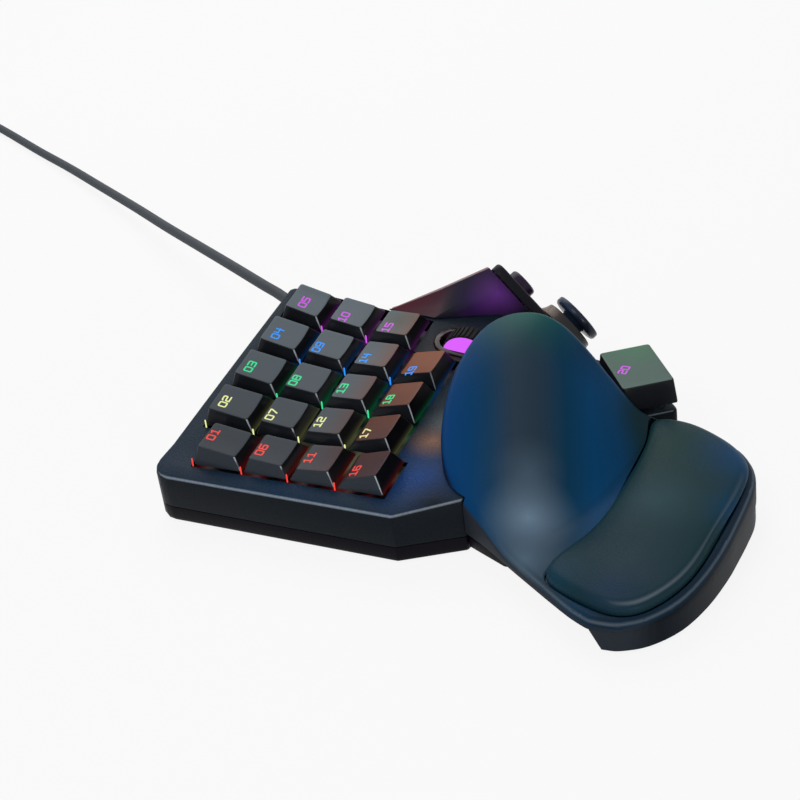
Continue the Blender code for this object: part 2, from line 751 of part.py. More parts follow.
def make_bottom_cover():
    mesh = block("bottom_cover", base_corners(), BASE_UNDERSIDE, SEAM_HEIGHT - CLEARANCE,
                 bottom_chamfer=BASE_EDGE_CHAMFER, cell=0)
    cover = add_object("bottom_cover", mesh, "base")
    floor = BASE_UNDERSIDE + BASE_FLOOR
    hollow = block("bottom_hollow", inset(base_corners(), WALL + CLEARANCE), floor,
                   SEAM_HEIGHT + OVERRUN, cell=0)
    add_boolean(cover, add_object("bottom_hollow", hollow, cutter=True))
    pads = [(rod("pad", BOARD_PAD_RADIUS, floor - BASE_FLOOR / 2, floor + BOARD_PAD_HEIGHT, PLUNGER_SIDES),
             Matrix.Translation((x, y, 0))) for x, y in board_pads() + thumb_board_pads()]
    add_boolean(cover, add_object("board_pads", joined("board_pads", pads), cutter=True), "UNION")
    cuts = []
    for x, y in boss_places():
        spot = Matrix.Translation((x, y, 0))
        head_top = BASE_UNDERSIDE + SCREW_RECESS
        profile = ((SCREW_HEAD_RADIUS + CLEARANCE, -OVERRUN), (SCREW_HEAD_RADIUS + CLEARANCE, head_top),
                   (SCREW_SHANK_RADIUS + CLEARANCE, head_top), (SCREW_SHANK_RADIUS + CLEARANCE, floor + OVERRUN))
        cuts.append((capped_turning("screw_hole", profile, SCREW_SIDES), spot))
    for x, y in foot_places():
        cuts.append((rod("foot", FOOT_RADIUS + CLEARANCE, -OVERRUN, BASE_UNDERSIDE + FOOT_RECESS, FOOT_SIDES),
                     Matrix.Translation((x, y, 0))))
    for offset in RAIL_OFFSETS:
        x = rail_x(offset)
        cuts.append((box("rail", (x - RAIL_WIDTH / 2 - CLEARANCE, POD_BACK - OVERRUN, RAIL_UNDERSIDE - CLEARANCE),
                         (x + RAIL_WIDTH / 2 + CLEARANCE, BODY_FRONT + RAIL_ROOT, SEAM_HEIGHT + OVERRUN)),
                     Matrix.Identity(4)))
    add_boolean(cover, add_object("bottom_holes", joined("bottom_holes", cuts), cutter=True))
    return cover


def board_pads():
    x0, y0 = board_centre()
    dx, dy = BOARD_WIDTH / 2 - BOARD_PAD_RADIUS, BOARD_LENGTH / 2 - BOARD_PAD_RADIUS
    return [(x0 + i * dx, y0 + j * dy) for i in (-1, 1) for j in (-1, 1)]


def board_centre():
    return ((FIELD_LEFT + FIELD_RIGHT) / 2, (FIELD_BACK + FIELD_FRONT) / 2)


def thumb_board_pads():
    dx = THUMB_BOARD_WIDTH / 2 - BOARD_PAD_RADIUS
    return [tuple(Vector((THUMB_KEY_X, THUMB_KEY_Y)) + Vector(turned(i * dx, 0, THUMB_KEY_ANGLE)))
            for i in (-1, 1)]


def foot_places():
    inset_by = BASE_EDGE_CHAMFER + FOOT_RADIUS + WALL
    return [
        (BASE_LEFT + inset_by + FOOT_RADIUS, BASE_BACK - inset_by),
        (BASE_LEFT + inset_by, BASE_FRONT + inset_by + FOOT_RADIUS),
        (BACK_RIGHT - inset_by, BASE_BACK - inset_by - FOOT_RADIUS),
        (BASE_RIGHT - inset_by - FOOT_RADIUS, BODY_FRONT),
    ]


def make_top_cover():
    mesh = block("top_cover", deck_corners(), SEAM_HEIGHT, cover_z, top_chamfer=DECK_EDGE_CHAMFER,
                 creases=crease_lines())
    cover = add_object("top_cover", mesh, "deck")
    hollow = block("top_hollow", inset(deck_corners(), WALL), SEAM_HEIGHT - OVERRUN,
                   lambda x, y: cover_z(x, y) - DECK_THICKNESS,
                   creases=crease_lines())
    add_boolean(cover, add_object("top_hollow", hollow, cutter=True))
    bosses = []
    for x, y in boss_places():
        bosses.append((rod("boss", BOSS_RADIUS, boss_bottom(), boss_top(x, y), SCREW_SIDES),
                       Matrix.Translation((x, y, 0))))
    add_boolean(cover, add_object("top_bosses", joined("top_bosses", bosses), cutter=True), "UNION")
    add_boolean(cover, panel_space("top_panel_cut", PANEL_THICKNESS + CLEARANCE))
    add_boolean(cover, button_space("top_button_cut"))
    cuts = [(well_cutter(), Matrix.Identity(4)), (wheel_hole(CLEARANCE), wheel_frame())]
    cuts.append((rod("gland", GLAND_NECK_RADIUS + CLEARANCE, -WALL * 2, OVERRUN, GLAND_SIDES), gland_frame()))
    for x, y in boss_places():
        cuts.append((rod("bore", SCREW_SHANK_RADIUS + CLEARANCE, 0, screw_top() + CLEARANCE, SCREW_SIDES),
                     Matrix.Translation((x, y, 0))))
    for offset in RAIL_OFFSETS:
        x = rail_x(offset)
        cuts.append((box("rail", (x - RAIL_WIDTH / 2 - CLEARANCE, POD_BACK - OVERRUN, SEAM_HEIGHT - OVERRUN),
                         (x + RAIL_WIDTH / 2 + CLEARANCE, BODY_FRONT + RAIL_ROOT,
                          RAIL_UNDERSIDE + RAIL_THICKNESS + CLEARANCE)), Matrix.Identity(4)))
    add_boolean(cover, add_object("top_holes", joined("top_holes", cuts), cutter=True))
    return cover


def boss_bottom():
    return BASE_UNDERSIDE + BASE_FLOOR + CLEARANCE


def boss_top(x, y):
    under_deck = deck_z(x, y) - DECK_THICKNESS / 2
    depth = PEAK - Vector((x, y, under_deck))
    spare = depth.dot(PANEL_NORMAL) - PANEL_THICKNESS
    return under_deck + min(spare / PANEL_NORMAL.z, 0)


def screw_top():
    return BASE_UNDERSIDE + FOOT_RECESS + SCREW_LENGTH


def well_cutter():
    def low(x, y):
        return deck_z(x, y) - DECK_THICKNESS - OVERRUN

    def high(x, y):
        return deck_z(x, y) + OVERRUN
    return block("well", sharp(well_outline(KEY_WELL_GAP)), low, high)


def wheel_centre():
    x, y = ((COLUMNS - 1) * KEY_SPAN_X + WHEEL_COLUMN_SHIFT, -(ROWS - 1) * KEY_PITCH - WHEEL_ROW_SHIFT)
    return (x, y)


def wheel_frame():
    """Matrix on the deck above the wheel: X along the axle, Y along the roll, Z out."""
    return deck_frame(*wheel_centre())


def slot_outline(length, width):
    radius = width / 2 - CLEARANCE
    return [(-width / 2, -length / 2, radius), (width / 2, -length / 2, radius),
            (width / 2, length / 2, radius), (-width / 2, length / 2, radius)]


def wheel_hole(gap):
    return block("wheel_hole", slot_outline(BEZEL_LENGTH + 2 * gap, BEZEL_WIDTH + 2 * gap),
                 -DECK_THICKNESS * 2 - OVERRUN, DECK_THICKNESS * 2, cell=0)


def make_key_plate():
    def level(depth):
        return lambda x, y: deck_z(x, y) - depth
    mesh = block("key_plate", sharp(plate_outline()), level(PLATE_DEPTH + PLATE_THICKNESS), level(PLATE_DEPTH))
    plate = add_object("key_plate", mesh, "steel")
    low = -PLATE_DEPTH - PLATE_THICKNESS - GUIDE_DROP
    high = -PLATE_DEPTH + GUIDE_RISE
    places = [deck_frame(*key_place(*cell)) for cell in key_cells()]
    guides = [(rod("guide", GUIDE_RADIUS, low, high, GUIDE_SIDES), spot) for spot in places]
    bores = [(rod("bore", PLUNGER_RADIUS + CLEARANCE, low - OVERRUN, high + OVERRUN, PLUNGER_SIDES), spot)
             for spot in places]
    add_boolean(plate, add_object("plate_guides", joined("plate_guides", guides), cutter=True), "UNION")
    add_boolean(plate, add_object("plate_bores", joined("plate_bores", bores), cutter=True))
    return plate


def make_dome_sheet():
    guide_end = PLATE_DEPTH + PLATE_THICKNESS + GUIDE_DROP
    top = guide_end + DOME_GAP + DOME_HEIGHT

    def level(depth):
        return lambda x, y: deck_z(x, y) - depth
    outline = sharp(offset_outline(plate_outline(), CLEARANCE))
    mesh = block("dome_sheet", outline, level(top + SHEET_THICKNESS), level(top))
    sheet = add_object("dome_sheet", mesh, "dome")
    places = [deck_frame(*key_place(*cell)) for cell in key_cells()]
    domes = [(rod("dome", DOME_BASE_RADIUS, -top - SHEET_THICKNESS / 2, -guide_end - DOME_GAP, GUIDE_SIDES,
                  top_radius=DOME_RADIUS), spot) for spot in places]
    bores = [(rod("bore", DOME_BORE_RADIUS, -top, -guide_end + OVERRUN, GUIDE_SIDES), spot) for spot in places]
    add_boolean(sheet, add_object("sheet_domes", joined("sheet_domes", domes), cutter=True), "UNION")
    add_boolean(sheet, add_object("sheet_bores", joined("sheet_bores", bores), cutter=True))
    return sheet


def make_boards():
    x0, y0 = board_centre()
    low = BASE_UNDERSIDE + BASE_FLOOR + BOARD_PAD_HEIGHT + CLEARANCE
    board = box("main_board", (x0 - BOARD_WIDTH / 2, y0 - BOARD_LENGTH / 2, low),
                (x0 + BOARD_WIDTH / 2, y0 + BOARD_LENGTH / 2, low + BOARD_THICKNESS))
    add_object("main_board", board, "board")
    thumb = add_object("thumb_board", box(
        "thumb_board", (-THUMB_BOARD_WIDTH / 2, -THUMB_BOARD_LENGTH / 2, low),
        (THUMB_BOARD_WIDTH / 2, THUMB_BOARD_LENGTH / 2, low + BOARD_THICKNESS)), "board")
    plunger_end = THUMB_KEY_TOP - THUMB_KEY_HEIGHT - THUMB_KEY_PLUNGER_LENGTH
    switch = rod("thumb_switch", THUMB_SWITCH_RADIUS, low + BOARD_THICKNESS / 2,
                 plunger_end - THUMB_KEY_TRAVEL - THUMB_SWITCH_GAP, GLAND_SIDES)
    spot = Matrix.Translation((THUMB_KEY_X, THUMB_KEY_Y, 0)) @ Matrix.Rotation(THUMB_KEY_ANGLE, 4, "Z")
    place(thumb, spot)
    switch_cutter = add_object("thumb_switch", switch, cutter=True)
    place(switch_cutter, spot)
    add_boolean(thumb, switch_cutter, "UNION")


def make_feet_and_screws():
    for index, (x, y) in enumerate(foot_places()):
        foot = rod("foot", FOOT_RADIUS, 0, BASE_UNDERSIDE + FOOT_RECESS - CLEARANCE, FOOT_SIDES)
        place(add_object(f"rubber_foot_{index + 1}", foot, "rubber"), Matrix.Translation((x, y, 0)))
    low = BASE_UNDERSIDE + SCREW_RECESS - CLEARANCE
    for index, (x, y) in enumerate(boss_places()):
        profile = ((SCREW_HEAD_RADIUS, low - SCREW_HEAD_HEIGHT), (SCREW_HEAD_RADIUS, low),
                   (SCREW_SHANK_RADIUS, low), (SCREW_SHANK_RADIUS, screw_top() - CLEARANCE))
        place(add_object(f"base_screw_{index + 1}", capped_turning("screw", profile, SCREW_SIDES), "steel"),
              Matrix.Translation((x, y, 0)))


def capped_turning(name, profile, sides):
    """Solid of revolution about Z whose profile starts and ends on flat round caps."""
    bm = bmesh.new()
    skin(bm, [[bm.verts.new((r * math.cos(math.tau * k / sides), r * math.sin(math.tau * k / sides), z))
               for k in range(sides)] for r, z in profile])
    return finish_mesh(name, bm)


# Keys

def cap_ring(half_x, front_y, back_y, chamfer, height_at):
    """Rectangle with cut corners, as eight points."""
    spots = [(half_x, front_y + chamfer), (half_x, back_y - chamfer), (half_x - chamfer, back_y),
             (chamfer - half_x, back_y), (-half_x, back_y - chamfer), (-half_x, front_y + chamfer),
             (chamfer - half_x, front_y), (half_x - chamfer, front_y)]
    return [(x, y, height_at(y)) for x, y in spots]


def plunger_ring(radius, height_at):
    """Octagon whose points follow the order of a cap ring's."""
    spots = [(radius * math.cos(math.pi * (k - 0.5) / 4), radius * math.sin(math.pi * (k - 0.5) / 4))
             for k in range(PLUNGER_SIDES)]
    return [(x, y, height_at(y)) for x, y in spots]


def cap_mesh(name, length, width, low, heights, insets, plunger, stretch=0.0):
    """Keycap: a drafted shell with its plunger, open below. heights are at the back and front."""
    back, front = heights
    side_inset, back_inset, front_inset = insets
    plunger_radius, plunger_end = plunger
    half_x, back_y, front_y = length / 2, width / 2 + stretch, -width / 2
    top_x, top_back, top_front = half_x - side_inset, back_y - back_inset, front_y + front_inset
    corner, edge, wall = CAP_CORNER_RADIUS, CAP_EDGE_BEVEL, CAP_WALL

    def top_at(y):
        return front + (back - front) * (y - top_front) / (top_back - top_front)

    def ceiling_at(y):
        return max(top_at(y) - wall, low + CLEARANCE)
    rings = [
        cap_ring(top_x - edge, top_front + edge, top_back - edge, corner, top_at),
        cap_ring(top_x, top_front, top_back, corner, lambda y: top_at(y) - edge),
        cap_ring(half_x, front_y, back_y, corner, lambda y: low),
        cap_ring(half_x - wall, front_y + wall, back_y - wall, corner, lambda y: low),
        cap_ring(top_x - wall, top_front + wall, top_back - wall, corner, ceiling_at),
        plunger_ring(plunger_radius, ceiling_at),
        plunger_ring(plunger_radius, lambda y: -plunger_end),
    ]
    bm = bmesh.new()
    skin(bm, [[bm.verts.new(p) for p in ring] for ring in rings])
    bmesh.ops.triangulate(bm, faces=bm.faces)
    return finish_mesh(name, bm)


def make_keys():
    for row, column in key_cells():
        number = row * COLUMNS + column + 1
        mesh = cap_mesh(f"key_{number:02d}", CAP_SIZE, CAP_SIZE, CAP_LIFT,
                        (CAP_BACK_HEIGHTS[row], CAP_FRONT_HEIGHTS[row]),
                        (CAP_SIDE_INSET, CAP_BACK_INSET, CAP_FRONT_INSET),
                        (PLUNGER_RADIUS, PLUNGER_DEPTH),
                        CAP_BACK_STRETCHES[column] if row == 0 else 0.0)
        place(add_object(f"key_{number:02d}", mesh, "cap"), deck_frame(*key_place(row, column)))


def thumb_key_frame():
    spot = Matrix.Translation((THUMB_KEY_X, THUMB_KEY_Y, THUMB_KEY_TOP - THUMB_KEY_HEIGHT))
    return spot @ Matrix.Rotation(THUMB_KEY_ANGLE, 4, "Z")


def make_thumb_key():
    mesh = cap_mesh("key_20", THUMB_KEY_LENGTH, THUMB_KEY_WIDTH, 0.0, (THUMB_KEY_HEIGHT, THUMB_KEY_HEIGHT),
                    (THUMB_KEY_INSET, THUMB_KEY_INSET, THUMB_KEY_INSET),
                    (THUMB_KEY_PLUNGER_RADIUS, THUMB_KEY_PLUNGER_LENGTH))
    place(add_object("key_20", mesh, "cap"), thumb_key_frame())


def make_thumb_housing():
    mesh = block("thumb_key_housing", pod_corners(), SEAM_HEIGHT, THUMB_LEDGE_HEIGHT,
                 top_chamfer=DECK_EDGE_CHAMFER, cell=0)
    housing = add_object("thumb_key_housing", mesh, "deck")
    hollow = block("pod_hollow", inset(pod_corners(), WALL), SEAM_HEIGHT - OVERRUN,
                   THUMB_LEDGE_HEIGHT - DECK_THICKNESS, cell=0)
    add_boolean(housing, add_object("pod_hollow", hollow, cutter=True))
    guide_low = THUMB_LEDGE_HEIGHT - DECK_THICKNESS * 3
    spot = Matrix.Translation((THUMB_KEY_X, THUMB_KEY_Y, 0))
    guide = add_object("pod_guide", rod("guide", THUMB_GUIDE_RADIUS, guide_low,
                                        THUMB_LEDGE_HEIGHT - DECK_THICKNESS / 2, GLAND_SIDES), cutter=True)
    add_boolean(housing, place(guide, spot), "UNION")
    bore = add_object("pod_bore", rod("bore", THUMB_KEY_PLUNGER_RADIUS + CLEARANCE, guide_low - OVERRUN,
                                      THUMB_LEDGE_HEIGHT + OVERRUN, GLAND_SIDES), cutter=True)
    add_boolean(housing, place(bore, spot))
    add_boolean(housing, panel_space("pod_panel_cut", PANEL_THICKNESS + CLEARANCE, PANEL_LENGTH + CLEARANCE))
    return housing


# Scroll wheel

def wheel_drop():
    """Depth of the axle below the deck surface."""
    return WHEEL_RADIUS - WHEEL_PROUD


def axle_frame():
    """Matrix at the wheel's centre with Z along the axle."""
    turn = Matrix.Rotation(math.radians(90), 4, "Y")
    return wheel_frame() @ Matrix.Translation((0, 0, -wheel_drop())) @ turn


def make_wheel():
    frame = axle_frame()
    core = WHEEL_RADIUS - TYRE_DEPTH - TYRE_RIB_HEIGHT
    half = HUB_WIDTH / 2
    groove = TYRE_WIDTH / 2 + CLEARANCE
    lip = core - CLEARANCE
    profile = ((AXLE_RADIUS + CLEARANCE, -half), (lip, -half), (core + TYRE_DEPTH / 2, -groove), (lip, -groove),
               (lip, groove), (core + TYRE_DEPTH / 2, groove), (lip, half), (AXLE_RADIUS + CLEARANCE, half))
    hub = turned_ring("wheel_hub", profile, TYRE_RIBS)
    place(add_object("wheel_hub", hub, "light"), frame)
    place(add_object("wheel_tyre", tyre_mesh(core), "rubber"), frame)
    reach = half + CARRIAGE_CHEEK + AXLE_OVERHANG
    place(add_object("wheel_axle", rod("wheel_axle", AXLE_RADIUS, -reach, reach, GLAND_SIDES), "steel"), frame)


def tyre_mesh(core):
    """Ribbed ring round the hub: every other station of the rim stands proud."""
    bm = bmesh.new()
    stations = TYRE_RIBS * 2
    half = TYRE_WIDTH / 2
    rings = []
    for step in range(stations):
        angle = math.tau * step / stations
        rim = core + TYRE_DEPTH + (TYRE_RIB_HEIGHT if step % 2 else 0)
        spots = ((core, -half), (rim, -half), (rim, half), (core, half))
        rings.append([bm.verts.new((r * math.cos(angle), r * math.sin(angle), z)) for r, z in spots])
    for step in range(stations):
        here, after = rings[step], rings[(step + 1) % stations]
        for index in range(len(here)):
            nxt = (index + 1) % len(here)
            bm.faces.new((here[index], after[index], after[nxt], here[nxt]))
    return finish_mesh("wheel_tyre", bm)


def carriage_sizes():
    inner = HUB_WIDTH / 2 + CLEARANCE
    outer = inner + CARRIAGE_CHEEK
    top = -wheel_drop() + AXLE_RADIUS + CARRIAGE_CHEEK
    floor = -wheel_drop() - WHEEL_RADIUS - CLEARANCE * 2
    return inner, outer, top, floor


def make_wheel_carriage():
    inner, outer, top, floor = carriage_sizes()
    half = CARRIAGE_LENGTH / 2
    body = box("wheel_carriage", (-outer, -half, floor - CARRIAGE_FLOOR), (outer, half, top))
    carriage = place(add_object("wheel_carriage", body, "base"), wheel_frame())
    gap = add_object("carriage_gap", box("gap", (-inner, -half - OVERRUN, floor),
                                         (inner, half + OVERRUN, top + OVERRUN)), cutter=True)
    add_boolean(carriage, place(gap, wheel_frame()))
    bore = add_object("carriage_bore", rod("bore", AXLE_RADIUS + CLEARANCE, -outer - OVERRUN, outer + OVERRUN,
                                           GLAND_SIDES), cutter=True)
    add_boolean(carriage, place(bore, axle_frame()))
    encoder_low = -wheel_drop() - ENCODER_SIZE / 2
    encoder_x = outer + CLEARANCE
    encoder = box("wheel_encoder", (encoder_x, -ENCODER_SIZE / 2, encoder_low),
                  (encoder_x + ENCODER_THICKNESS, ENCODER_SIZE / 2, encoder_low + ENCODER_SIZE))
    unit = place(add_object("wheel_encoder", encoder, "base"), wheel_frame())
    socket = add_object("encoder_bore", rod("bore", AXLE_RADIUS + CLEARANCE, -OVERRUN, outer * 2, GLAND_SIDES),
                        cutter=True)
    add_boolean(unit, place(socket, axle_frame()))


def make_wheel_bracket():
    """Fixed cradle that the carriage clicks down in, standing on the bottom cover."""
    inner, outer, top, floor = carriage_sizes()
    half = CARRIAGE_LENGTH / 2 + CLEARANCE
    rest = floor - CARRIAGE_FLOOR - WHEEL_CLICK - CLEARANCE
    seat = wheel_frame() @ Vector((0, 0, rest))
    stand = seat.z - BASE_UNDERSIDE - BASE_FLOOR - CLEARANCE * 2 - outer * math.sin(DECK_TILT)
    body = box("wheel_bracket", (-outer, -half - BRACKET_WALL, rest - stand), (outer, half + BRACKET_WALL,
                                                                          rest + BRACKET_RISE))
    bracket = place(add_object("wheel_bracket", body, "base"), wheel_frame())
    gap = add_object("bracket_gap", box("gap", (-outer - OVERRUN, -half, rest),
                                        (outer + OVERRUN, half, rest + BRACKET_RISE + OVERRUN)), cutter=True)
    add_boolean(bracket, place(gap, wheel_frame()))
    foot_level = BASE_UNDERSIDE + BASE_FLOOR + CLEARANCE
    reach = BEZEL_LENGTH
    x, y = wheel_centre()
    below = add_object("bracket_foot_cut", box("foot_cut", (x - reach, y - reach, -reach),
                                               (x + reach, y + reach, foot_level)), cutter=True)
    add_boolean(bracket, below)


def make_wheel_bezel():
    outline = slot_outline(BEZEL_LENGTH, BEZEL_WIDTH)
    mesh = block("wheel_bezel", outline, -BEZEL_DEPTH, BEZEL_PROUD, top_chamfer=CLEARANCE, cell=0)
    bezel = place(add_object("wheel_bezel", mesh, "gloss"), wheel_frame())
    inner = slot_outline(BEZEL_LENGTH - 2 * BEZEL_RIM, BEZEL_WIDTH - 2 * BEZEL_RIM)
    hole = block("bezel_hole", inner, -BEZEL_DEPTH - OVERRUN, BEZEL_PROUD + OVERRUN, cell=0)
    add_boolean(bezel, place(add_object("bezel_hole", hole, cutter=True), wheel_frame()))


# Thumb wedge, panel, pad and button

def shoulder_x(y):
    """The thumb side of the base at a place along Y."""
    share = (WEDGE_START_Y - y) / (WEDGE_START_Y - BODY_FRONT - POD_STRAIGHT)
    return BACK_RIGHT + min(max(share, 0), 1) * (BASE_RIGHT - BACK_RIGHT)


def wedge_sections(hollow):
    """Sections of the wedge across Y; the hollow's are drawn in and open towards the deck."""
    wall = WEDGE_WALL if hollow else 0
    ridge_x0, ridge_z0 = WEDGE_RIDGE_START
    sections = []
    for index, (share, foot_x) in enumerate(zip(WEDGE_SECTION_SHARES, WEDGE_FOOT_PLACES)):
        y = WEDGE_START_Y + (PEAK.y - WEDGE_START_Y) * share
        climb = min(share, 1)
        ridge_x = ridge_x0 + (PEAK.x - ridge_x0) * climb
        ridge_z = max(ridge_z0 + (PEAK.z - ridge_z0) * climb, cover_z(ridge_x, y) + WEDGE_EDGE)
        right = shoulder_x(y) - WEDGE_SIDE_GAP
        outer_z = max(ridge_z - WEDGE_OUTER_DROP * climb, cover_z(right, y) + WEDGE_EDGE)
        foot_z = cover_z(foot_x, y) + WEDGE_EDGE
        middle_x = (foot_x + ridge_x) / 2
        middle_z = foot_z + (ridge_z - foot_z) * WEDGE_MIDDLE_SHARE
        crest_x = min(ridge_x + WEDGE_RIDGE_WIDTH, (ridge_x + right) / 2)
        top = [(foot_x, foot_z), (middle_x, middle_z), (ridge_x, ridge_z), (crest_x, ridge_z), (right, outer_z)]
        if hollow:
            y += WEDGE_WALL * (-1 if index == 0 else (1 if share > 1 else 0))
            left, far = foot_x + wall, right - wall
            top = [(min(max(x, left), far), z - wall) for x, z in top]
        drop = OVERRUN * 2 if hollow else OVERRUN
        ring = [(x, y, max(z, cover_z(x, y) - drop / 2)) for x, z in top]
        ring += [(x, y, cover_z(x, y) - drop) for x, _ in reversed(top)]
        sections.append(ring)
    return sections


def make_wedge():
    wedge = add_object("thumb_wedge_cover", loft("thumb_wedge_cover", wedge_sections(False)), "gloss")
    sections = wedge_sections(True)[1:]
    add_boolean(wedge, add_object("wedge_hollow", loft("wedge_hollow", sections), cutter=True))
    clear = block("wedge_deck_cut", deck_corners(), SEAM_HEIGHT - OVERRUN,
                  lambda x, y: cover_z(x, y) + CLEARANCE, top_chamfer=DECK_EDGE_CHAMFER, creases=crease_lines())
    add_boolean(wedge, add_object("wedge_deck_cut", clear, cutter=True))
    add_boolean(wedge, panel_space("wedge_panel_cut", PANEL_THICKNESS + CLEARANCE))
    add_boolean(wedge, button_space("wedge_button_cut"))
    return wedge


def panel_outline():
    low, high = 0.0, PANEL_LENGTH
    near, far = PANEL_EDGE_OFFSET - PANEL_WIDTH / 2, PANEL_EDGE_OFFSET + PANEL_WIDTH / 2
    return [(low, near, PANEL_CORNER_RADIUS), (high, near, PANEL_CORNER_RADIUS),
            (high, far, PANEL_CORNER_RADIUS), (low, far, PANEL_CORNER_RADIUS)]


def button_matrix(height=0.0):
    return panel_matrix(PANEL_TOP_MARGIN, PANEL_EDGE_OFFSET, height)


def pad_matrix(height=0.0):
    return panel_matrix(PANEL_TOP_MARGIN + PAD_SPACING, PANEL_EDGE_OFFSET, height)


def make_thumb_panel():
    mesh = block("thumb_panel", panel_outline(), -PANEL_THICKNESS, 0.0, top_chamfer=PANEL_EDGE_BEVEL, cell=0)
    panel = place(add_object("thumb_panel", mesh, "deck"), panel_matrix())
    deep = PANEL_THICKNESS + OVERRUN
    holes = [(rod("button_hole", BUTTON_RADIUS + CLEARANCE, -deep, OVERRUN, PAD_SIDES), button_matrix()),
             (rod("pad_hole", COLLAR_BORE, -deep, OVERRUN, PAD_SIDES), pad_matrix())]
    cutter = add_object("panel_holes", joined("panel_holes", holes), cutter=True)
    add_boolean(panel, cutter)
    return panel


def make_mode_button():
    under = -PANEL_THICKNESS - CLEARANCE
    profile = ((BUTTON_FLANGE_RADIUS, under - BUTTON_FLANGE_THICKNESS), (BUTTON_FLANGE_RADIUS, under),
               (BUTTON_RADIUS, under), (BUTTON_RADIUS, BUTTON_PROUD - CLEARANCE * 2),
               (BUTTON_RADIUS - CLEARANCE * 2, BUTTON_PROUD))
    place(add_object("mode_button", capped_turning("mode_button", profile, PAD_SIDES), "gloss"), button_matrix())


def make_thumb_pad():
    profile = ((COLLAR_BORE, CLEARANCE), (COLLAR_RADIUS, CLEARANCE), (COLLAR_TOP_RADIUS, COLLAR_HEIGHT),
               (COLLAR_BORE, COLLAR_HEIGHT))
    place(add_object("pad_collar", turned_ring("pad_collar", profile, PAD_SIDES), "gloss"), pad_matrix())
    half = GIMBAL_THICKNESS / 2
    ring = ((GIMBAL_BORE, -half), (GIMBAL_RADIUS, -half), (GIMBAL_RADIUS, half), (GIMBAL_BORE, half))
    place(add_object("pad_gimbal", turned_ring("pad_gimbal", ring, PAD_SIDES), "base"), pad_matrix(GIMBAL_HEIGHT))
    top = PAD_HEIGHT - GIMBAL_HEIGHT
    rim = CLEARANCE * 2
    pad = ((STEM_RADIUS, -STEM_DROP), (STEM_RADIUS, top - PAD_THICKNESS), (PAD_RADIUS - rim, top - PAD_THICKNESS),
           (PAD_RADIUS, top - PAD_THICKNESS + rim), (PAD_RADIUS, top - rim), (PAD_RADIUS - rim, top),
           (PAD_RADIUS * 0.6, top - PAD_DISH / 2), (PAD_RADIUS * 0.25, top - PAD_DISH))
    place(add_object("thumb_pad", capped_turning("thumb_pad", pad, PAD_SIDES), "gloss"), pad_matrix(GIMBAL_HEIGHT))


# Palm rest

def palm_point(shares):
    return (PALM_RIGHT - shares[0] * PALM_WIDTH, PALM_BACK - shares[1] * PALM_LENGTH)


def palm_shares(x, y):
    return ((PALM_RIGHT - x) / PALM_WIDTH, (PALM_BACK - y) / PALM_LENGTH)


def pad_plane(x, y):
    """Height of the rim round the pad: it rises towards the thumb."""
    return PALM_LOW_RIM + PALM_RIM_RISE * (1 - palm_shares(x, y)[0])


def palm_height(x, y):
    """Height of the palm rest's upper surface: the rim's plane with the dome on it."""
    a, b = palm_shares(x, y)
    reach_b = DOME_REACH_SHARES[1] if b > DOME_CENTRE_SHARES[1] else DOME_BACK_REACH_SHARE
    away = ((a - DOME_CENTRE_SHARES[0]) / DOME_REACH_SHARES[0]) ** 2 + ((b - DOME_CENTRE_SHARES[1]) / reach_b) ** 2
    return pad_plane(x, y) + DOME_RISE * max(1 - away, 0) ** 2


def palm_outline(inward=0.0):
    """Corners of the palm rest, drawn inwards."""
    return sharp(offset_outline([palm_point(s) for s in PALM_OUTLINE_SHARES], inward))


def make_palm_shell():
    mesh = block("palm_shell", palm_outline(), PALM_UNDERSIDE, palm_height, top_chamfer=PALM_EDGE_RADIUS,
                 cell=PALM_CELL)
    shell = add_object("palm_shell", mesh, "soft")
    hollow = block("palm_hollow", palm_outline(PALM_WALL), PALM_UNDERSIDE - OVERRUN,
                   lambda x, y: palm_height(x, y) - PALM_WALL, top_chamfer=PALM_EDGE_RADIUS - PALM_WALL / 2,
                   cell=PALM_CELL)
    hollow_cutter = add_object("palm_hollow", hollow, cutter=True)
    add_boolean(hollow_cutter, pocket_space("palm_pocket_keep", PAD_POCKET_DEPTH + PALM_WALL, WALL))
    add_boolean(shell, hollow_cutter)
    add_boolean(shell, pocket_space("palm_pocket", PAD_POCKET_DEPTH, 0.0))
    clear = block("palm_deck_cut", inset(base_corners(), -PALM_DECK_GAP), -OVERRUN,
                  lambda x, y: deck_z(x, y) + PALM_DECK_GAP)
    add_boolean(shell, add_object("palm_deck_cut", clear, cutter=True))
    additions = [(foot_skirt(), Matrix.Identity(4)), (runner_blocks(), Matrix.Identity(4))]
    cutter = add_object("palm_additions", joined("palm_additions", additions), cutter=True)
    add_boolean(shell, cutter, "UNION")
    return shell


def pocket_space(name, depth, grow):
    """Space above the cushion's pocket floor."""
    outline = offset_outline([palm_point(s) for s in PAD_OUTLINE_SHARES], -grow)
    mesh = block(name, sharp(outline), lambda x, y: pad_plane(x, y) - depth, BLOCK_HEIGHT * 2, cell=0)
    return add_object(name, mesh, cutter=True)


def front_band(outer_inset, inner_inset, start):
    """Corners of a band along the palm rest's front, from one place along Y on its left side."""
    outer = palm_outline(outer_inset)
    inner = palm_outline(inner_inset)
    chosen = [i for i in range(len(outer)) if palm_shares(*palm_outline()[i][:2])[1] > start]
    return [outer[i] for i in chosen] + [inner[i] for i in reversed(chosen)]


